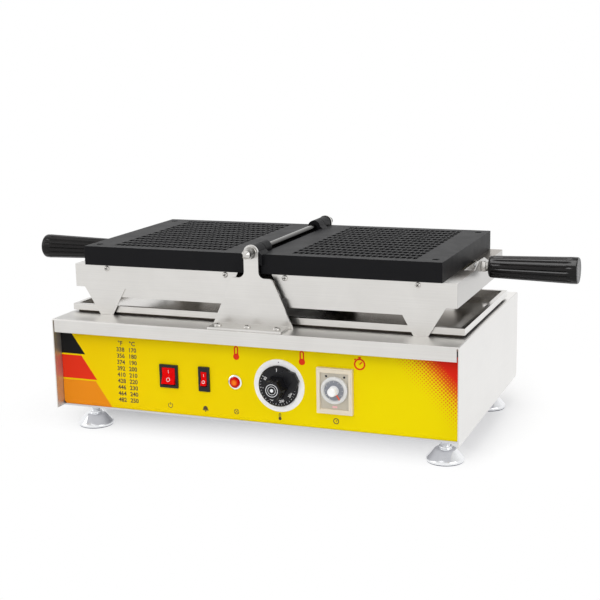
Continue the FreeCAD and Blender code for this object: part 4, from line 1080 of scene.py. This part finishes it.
def join(name, pieces):
    """Joins several marks into one piece."""
    work_on(pieces[0])
    for piece in pieces:
        piece.select_set(True)
    bpy.ops.object.join()
    pieces[0].name = name
    return pieces[0]


print("flat marks can be laid and joined")

# %% Switches
MAIN_SWITCH, ALARM_SWITCH = -113.0, -62.6
ROCKER_TILT, ROCKER_PIVOT, ROCKER_FACE, ROCKER_DISH = 10, -151.49, 3.2, 2.4


def rocker_slope(half, rise):
    """Depth, height and slope in degrees at a rise above the pivot of a dished, tilted rocker."""
    tilt = math.radians(ROCKER_TILT)
    depth = -ROCKER_FACE - ROCKER_DISH * abs(rise) / half
    slope = math.degrees(math.atan(ROCKER_DISH / half))
    y = depth * math.cos(tilt) + rise * math.sin(tilt)
    z = rise * math.cos(tilt) - depth * math.sin(tilt)
    return ROCKER_PIVOT + y, CONTROLS + z, (slope if rise > 0 else -slope) - ROCKER_TILT


for name, x, half, size in (("main", MAIN_SWITCH, 10.8, 1.0), ("alarm", ALARM_SWITCH, 9.0, 0.8)):
    softened(f"{name}_switch_frame", 0.5, "black_plastic", black_plastic)
    softened(f"{name}_rocker", 0.5, "red_plastic", rocker_red)
    line = lay(bar_mark(f"{name}_line", 0.6 * size, 4.4 * size), x, *rocker_slope(half, 0.5 * half))
    ring = lay(ring_mark(f"{name}_ring", 2.7 * size, 0.62), x, *rocker_slope(half, -0.45 * half))
    for mark in (line, ring):
        settle(mark, f"{name}_rocker", "white_plastic", ink_white)
    print(name, "switch: frame, rocker, line and ring")

# %% [markdown]
# ## Pilot lamp
# A bright ring holds a small red cap. The ring could be a torus on a cylinder. Both are turned, and
# the ring's profile runs up its outer flank, over the rim and down into the seat of the cap, so it
# is one closed shape with the neck behind the panel.

# %% Pilot lamp
FILM = -152.5
lamp_seat = mm(LAMP, FILM, CONTROLS)
lamp_ring = turned("lamp_ring", lamp_seat, FORWARDS,
                   [(-18, 5.6), (-17.5, 6.0), (0, 6.0), (0, 9.75), (1.4, 9.75), (2.4, 9.3),
                    (3.0, 8.4), (3.0, 7.4), (2.6, 6.9), (0.9, 6.7)], 56)
settle(soften(lamp_ring, 0), "base", "bright_steel", chrome, "lamp_bezel")
lamp_cap = turned("lamp_cap", lamp_seat, FORWARDS,
                  [(0.9, 6.5), (3.2, 6.5), (4.2, 6.1), (5.0, 5.2), (5.5, 3.8), (5.75, 2.2),
                   (5.8, 0.8)], 40)
settle(soften(lamp_cap, 0, angle=50), "base", "red_lens", lamp_red, "lamp_lens")
print("pilot lamp: ring and cap")

# %% [markdown]
# ## Thermostat dial
# A black knob with a six-sided grip turns in front of a white plate. The knob is the softened
# solid, and its end is sunk by an inset. Its scale could be a picture. Each tick is a bar, laid
# round the knob's centre; the numbers are text made into mesh, because a text object can't be given
# a place in its mesh.

# %% Lettering
HALF_INK = 0.025


def lettering(name, text, size, weight):
    """Text as a thin mesh in the XZ plane that faces -Y. weight makes its strokes bolder."""
    deselect()
    bpy.ops.object.text_add(rotation=(math.pi / 2, 0, 0))
    piece = bpy.context.object
    piece.name = name
    piece.data.body = text
    piece.data.size = size * MM
    piece.data.align_x = "CENTER"
    piece.data.align_y = "CENTER"
    piece.data.extrude = HALF_INK * MM
    piece.data.offset = weight * MM
    piece.data.resolution_u = 3
    bpy.ops.object.convert(target="MESH")
    return tidy(bpy.context.object)


print("lettering ready")

# %% Dial plate and knob
DIAL = 41.0
DIAL_FACE, KNOB_END, KNOB_DISH = -153.7, -177.9, -177.7
dial_plate = turned("dial_plate_turned", mm(DIAL, FILM, CONTROLS), FORWARDS,
                    [(0, 34.0), (0.8, 34.0), (1.1, 33.7), (1.2, 33.2), (1.2, 4.0), (0.4, 3.6)], 96)
settle(soften(dial_plate, 0), "base", "white_plastic", white_plastic, "dial_plate")
index_dot = lay(ring_mark("dial_index", 0.7, 0, 0.05, 20), DIAL, DIAL_FACE, CONTROLS + 30.4)
settle(index_dot, "base", "black_plastic", black_plastic)
knob = softened("thermostat_knob", 0.35, "black_plastic", knob_plastic)
pick_faces(knob, lambda middle, normal: middle.y < KNOB_END * MM and normal.y < -0.9)
bpy.ops.mesh.inset(thickness=0.9 * MM, depth=-0.35 * MM)
leave_edit()
rings = [lay(ring_mark(f"knob_ring_{number}", radius, line, 0.2), DIAL, KNOB_DISH, CONTROLS)
         for number, (radius, line) in enumerate(((8.2, 0.7), (5.4, 0.5), (2.2, 0)), 1)]
settle(join("knob_rings", rings), "thermostat_knob", "bright_steel", chrome)
print("dial plate, and knob with", len(rings), "rings")

# %% Scale on the knob
KNOB_FLANGE = -158.2


def around(x, z, reach, angle):
    """The x and z of a place at some reach and angle, in degrees, from a centre."""
    return x + reach * math.cos(math.radians(angle)), z + reach * math.sin(math.radians(angle))


marks = []
for step in range(25):
    angle = 148 + step * 9.6
    width, length, reach = (0.45, 2.6, 22.9) if step % 4 == 0 else (0.32, 1.6, 23.4)
    tick = bar_mark(f"tick_{step}", width, length, 0.05)
    x, z = around(DIAL, CONTROLS, reach, angle)
    marks.append(lay(tick, x, KNOB_FLANGE, z, spin=angle - 90))
for step, number in enumerate((50, 100, 150, 200, 250, 300)):
    angle = 150 + step * 45
    figure = lettering(f"dial_number_{number}", str(number), 4.6, 0.1)
    x, z = around(DIAL, CONTROLS, 19.2, angle)
    marks.append(lay(figure, x, KNOB_FLANGE - 0.02, z, spin=angle + 90))
marks.append(lay(bar_mark("dial_line", 0.8, 4.6, 0.05), DIAL - 1.0, KNOB_FLANGE, CONTROLS + 21.4))
settle(join("knob_marks", marks), "thermostat_knob", "white_plastic", ink_white)
print("thermostat dial:", len(marks), "marks")

# %% [markdown]
# ## Timer
# The timer sits in a cream frame with two steps. A clear ring and a grey disc turn together with
# the small white knob and its red pointer. The frame could be cut from a box. Frame and face start
# as planes here, and ring, disc and knob as turned discs, so each has only the faces that it needs.

# %% Timer frame and face
TIMER = 116.0
STEP_SEAT, FACE_SEAT, TIMER_FACE = -158.5, -156.0, -156.25
softened("timer_case", 0.6, "cream_plastic", cream_plastic)


def step_frame(name, width, height, line, y, rise):
    """A frame round the timer's middle that faces -Y, with soft edges. With no line it is full."""
    piece = raised(flat_plane(name, width, height), line, rise)
    return soften(lay(piece, TIMER, y, CONTROLS), min(0.3, rise * 0.4))


step = step_frame("timer_step", 43.0, 53.6, 2.4, STEP_SEAT, 0.7)
settle(step, "base", "cream_plastic", cream_plastic)
face = step_frame("timer_face", 36.6, 45.6, 0, FACE_SEAT, 0.25)
settle(face, "base", "grey_plastic", beige_face)
dots = [lay(ring_mark(f"timer_dot_{number}", 1.5, 0, 0.1, 24), TIMER + x, TIMER_FACE,
            CONTROLS + 18.4) for number, x in enumerate((-11.0, 12.5), 1)]
settle(join("timer_dots", dots), "base", "black_plastic", black_plastic)
signal = lay(bar_mark("timer_signal", 6.4, 2.4, 0.25), TIMER, TIMER_FACE, CONTROLS - 20.2)
settle(signal, "base", "red_lens", pale_pink)
print("timer frame and face, with", len(dots), "dots and a signal")

# %% Timer dial
TIMER_DIAL = CONTROLS + 1.5
DIAL_SEAT, DISC_FACE = -156.4, -159.6
timer_seat = mm(TIMER, DIAL_SEAT, TIMER_DIAL)
ring = turned("timer_ring", timer_seat, FORWARDS,
              [(0, 17.2), (0.4, 17.5), (2.8, 17.5), (3.7, 17.0), (4.0, 16.2), (4.0, 14.2),
               (3.4, 13.3), (2.6, 12.9)], 72)
settle(soften(ring, 0), "timer_dial", "grey_plastic", clear_ring, "timer_dial")
disc = turned("timer_disc", timer_seat, FORWARDS,
              [(2.4, 12.5), (3.0, 12.5), (3.2, 12.2), (3.2, 7.0), (3.3, 6.6)], 64)
settle(soften(disc, 0), "timer_dial", "grey_plastic", grey_plastic)
timer_knob = turned("timer_knob_turned", timer_seat, FORWARDS,
                    [(3.2, 6.5), (4.0, 6.2), (11.6, 5.7), (12.5, 5.2), (13.0, 4.2),
                     (12.8, 3.4)], 28)
settle(soften(timer_knob, 0), "timer_dial", "white_plastic", white_plastic, "timer_knob")
pointer = bar_mark("timer_pointer", 1.8, 7.0, 0.5)
lay(pointer, TIMER + 5.4, DISC_FACE, TIMER_DIAL - 8.2, spin=33)
settle(pointer, "timer_dial", "red_plastic", pointer_red)
ticks = []
for angle in range(240, -61, -30):
    tick = bar_mark(f"timer_tick_{len(ticks)}", 0.4, 1.5, 0.05)
    x, z = around(TIMER, TIMER_DIAL, 11.2, angle)
    ticks.append(lay(tick, x, DISC_FACE, z, spin=angle - 90))
settle(join("timer_ticks", ticks), "timer_dial", "white_plastic", ink_white)
print("timer: ring, disc, knob, pointer and", len(ticks), "ticks")

# %% [markdown]
# ## Cable inlet
# At the back, a plastic gland waits for the mains lead. It could be turned like the knobs. The
# solid already has its hexagons and its cap, so it only gets soft edges, as a moulding has, and a
# finish.

# %% Cable inlet
softened("cable_gland", 0.35, "black_plastic", black_plastic)
print("cable inlet ready")

# %% [markdown]
# ## Printed marks on the film
# A table of temperatures, red signs for heat and time, and a small dark sign under each control are
# printed on the film. They could be painted into the film's material. Thin raised marks are used
# instead, because ink laid by screen printing does stand a little proud, and each mark can then
# have its own ink.

# %% Temperature table
TABLE_TOP, ROW_HEIGHT = 126.0, 8.55
celsius = range(170, 260, 10)
columns = {"f": (-183.5, ["°F", *(round(value * 1.8 + 32) for value in celsius)]),
           "c": (-166.0, ["°C", *celsius])}
table = []
for column, (x, values) in columns.items():
    for row, value in enumerate(values):
        entry = lettering(f"table_{column}_{row}", str(value), 8.0, 0.2)
        table.append(lay(entry, x, FILM - HALF_INK, TABLE_TOP - row * ROW_HEIGHT))
settle(join("temperature_table", table), "base", "black_plastic", ink_brown)
print("temperature table:", len(table), "entries")

# %% Heat and time signs
RED, DARK = ("red_plastic", ink_red), ("black_plastic", ink_brown)


def sign(name, parts, x, z, ink):
    """Joins the parts of a sign and lays it on the film."""
    settle(lay(join(name, parts), x, FILM, z), "base", *ink)
    print(name, "with", len(parts), "parts")


def thermometer(name, x, z, size, ink):
    """A stem with a rounded top, and a full bulb."""
    stem = ring_mark(name + "_stem", 3.1 * size, 1.8 * size, 0.06, 24)
    pick_points(stem, lambda point: point.z > 0)
    bpy.ops.transform.translate(value=mm(0, 0, 9.2 * size))
    leave_edit()
    bulb = lay(ring_mark(name + "_bulb", 4.2 * size, 0, 0.09, 28), 0, 0, -1.6 * size)
    sign(name, [stem, bulb], x, z, ink)


def clock(name, x, z, size, ink, stopwatch):
    """A ring with two hands, or a stopwatch with one hand, a crown and a button."""
    ring = ring_mark(name + "_ring", 7.0 * size, 1.9 * size)
    hand = bar_mark(name + "_hand", 1.5 * size, 4.8 * size)
    parts = [ring, lay(hand, 1.5 * size, 0, 1.5 * size, spin=-45)]
    if stopwatch:
        crown = bar_mark(name + "_crown", 3.2 * size, 2.2 * size)
        button = bar_mark(name + "_button", 2.2 * size, 1.6 * size)
        parts += [lay(crown, 0, 0, 8.0 * size), lay(button, -5.6 * size, 0, 5.6 * size, spin=45)]
    else:
        parts.append(lay(bar_mark(name + "_hour", 0.8 * size, 3.4 * size), 0, 0, -1.2 * size))
    sign(name, parts, x, z, ink)


thermometer("lamp_heat_sign", -17.0, 122.0, 1.0, RED)
thermometer("dial_heat_sign", 72.0, 122.0, 1.0, RED)
clock("timer_time_sign", 147.3, 123.0, 1.05, RED, True)

# %% Signs under the controls
thermometer("dial_sign", DIAL, 45.2, 0.5, DARK)
clock("timer_sign", TIMER, 48.0, 0.55, DARK, False)
power_ring = ring_mark("power_ring", 3.5, 0.75)
pick_faces(power_ring, lambda middle, normal: abs(middle.x) < 1.2 * MM and middle.z > 0)
bpy.ops.mesh.delete(type="FACE")
leave_edit()
power_bar = lay(bar_mark("power_bar", 0.8, 3.6), 0, 0, 2.4)
sign("power_sign", [power_ring, power_bar], MAIN_SWITCH, 48.0, DARK)
bell = ring_mark("bell", 3.0, 0)
pick_points(bell, lambda point: point.z < 0.1 * MM)
bpy.ops.transform.resize(value=(1.25, 1, 0), center_override=mm(0, 0, -2))
leave_edit()
bell_rim = lay(bar_mark("bell_rim", 8.6, 0.8), 0, 0, -2.6)
bell_tongue = lay(ring_mark("bell_tongue", 0.9, 0), 0, 0, -4.0)
sign("bell_sign", [bell, bell_rim, bell_tongue], ALARM_SWITCH, 48.6, DARK)
lamp_parts = [ring_mark("lamp_sign_ring", 3.5, 0.7)]
lamp_parts += [lay(bar_mark(f"lamp_sign_bar_{spin}", 0.6, 6.4), 0, 0, 0, spin=spin)
               for spin in (45, -45)]
sign("lamp_sign", lamp_parts, LAMP, 48.0, DARK)

# %% [markdown]
# ## Floor and backdrop
# A catalogue picture is taken on white paper. The paper could be a curved sheet. A flat disc does
# here: it keeps the shadow under the machine and turns white around it, for the camera and for what
# mirrors it. The world behind is white in the same way, and only a weak light for everything else.

# %% Floor
FLOOR_RADIUS = 6.0
WHITE = (1, 1, 1, 1)


def looking(tree):
    """1 for a ray that looks at the machine: from the camera, a mirror or a clear piece."""
    rays = put(tree, "LightPath")
    return rays["Is Camera Ray"] | rays["Is Glossy Ray"] | rays["Is Transmission Ray"]


deselect()
bpy.ops.mesh.primitive_circle_add(vertices=96, radius=FLOOR_RADIUS, fill_type="NGON",
                                  location=mm(0, 0, -0.2))
floor = bpy.context.object
floor.name = "floor"
floor_paint, tree, shader, place = new_finish("floor paint")
tree.nodes.remove(shader)
looks, floor_x, floor_y = looking(tree), place.part("X"), place.part("Y")
# Painted shadow: the floor turns white close in front of the base and at its sides, which paints
# the shadow narrower, and its lift is smaller on the left, which paints the shadow darker there.
far = (floor_y.spread(1.0, 0.0, -0.165, -0.05) | floor_y.spread(0.0, 1.0, 0.18, 0.45)
       | abs(floor_x).spread(0.0, 1.0, 0.25, 0.42))
lift = looks * floor_x.spread(0.16, 0.33, -0.28, -0.02)
paint = put(tree, "BsdfDiffuse", {"Color": (0.82, 0.82, 0.82, 1)})
glow = put(tree, "Emission", {"Color": WHITE, "Strength": lift})
lifted = put(tree, "AddShader", {0: paint, 1: glow})
plain_white = put(tree, "Emission", {"Color": WHITE, "Strength": 1.0})
surface = put(tree, "MixShader", {0: far * looks, 1: lifted, 2: plain_white})
plug(tree, tree.nodes["Material Output"], {"Surface": surface})
dress(floor, floor_paint)
print("floor paint:", len(tree.nodes), "nodes")

# %% Backdrop
world = bpy.data.worlds.new("studio")
bpy.context.scene.world = world
world.use_nodes = True
tree = world.node_tree
mirrored = put(tree, "LightPath")["Is Glossy Ray"]
rise = put(tree, "TexCoord")["Generated"].part("Z")
strength = looking(tree).spread(0.32, 1.0) - rise.spread(0.0, 0.34, 0.45, 0.95) * mirrored
plug(tree, tree.nodes["Background"], {"Color": WHITE, "Strength": strength})
print("backdrop:", len(tree.nodes), "nodes")

# %% [markdown]
# ## Lamps
# The machine stands under large soft lamps, as in a studio. One sun would be simpler, but throws
# hard shadows. Square area lamps are used, at a level at which each colour comes out as it was
# written. Some are hidden from mirrors, because a bright square in brushed steel draws the eye.


# %% Lamps
def softbox(name, place, size, power, mirrored=True, only=()):
    """A square lamp that faces the machine's middle. One that isn't mirrored leaves no glare on
    metal. It lights all pieces, or only some."""
    lamp = bpy.data.objects.new(name, bpy.data.lights.new(name, "AREA"))
    bpy.context.scene.collection.objects.link(lamp)
    lamp.data.size = size
    lamp.data.energy = power
    lamp.visible_glossy = mirrored
    lamp.location = place
    to_machine = mm(0, 0, 120) - lamp.location
    lamp.rotation_euler = to_machine.to_track_quat("-Z", "Y").to_euler()
    if only:
        lamp.light_linking.receiver_collection = bpy.data.collections.new(name)
        for piece in only:
            lamp.light_linking.receiver_collection.objects.link(piece)
    print(name, "of", power, "watts")


softbox("top softbox", (-0.2, -0.3, 2.5), 2.4, 25, False)
softbox("top sheen", (-0.2, -0.2, 2.4), 2.4, 9)
softbox("front softbox", (0.2, -2.6, 1.5), 2.0, 26, False)
softbox("right softbox", (2.3, -1.0, 1.3), 1.8, 13)
softbox("left softbox", (-2.3, -1.2, 1.3), 1.8, 10)
softbox("grip sheen", (0, -0.5, 2.2), 2.0, 90, only=grips)
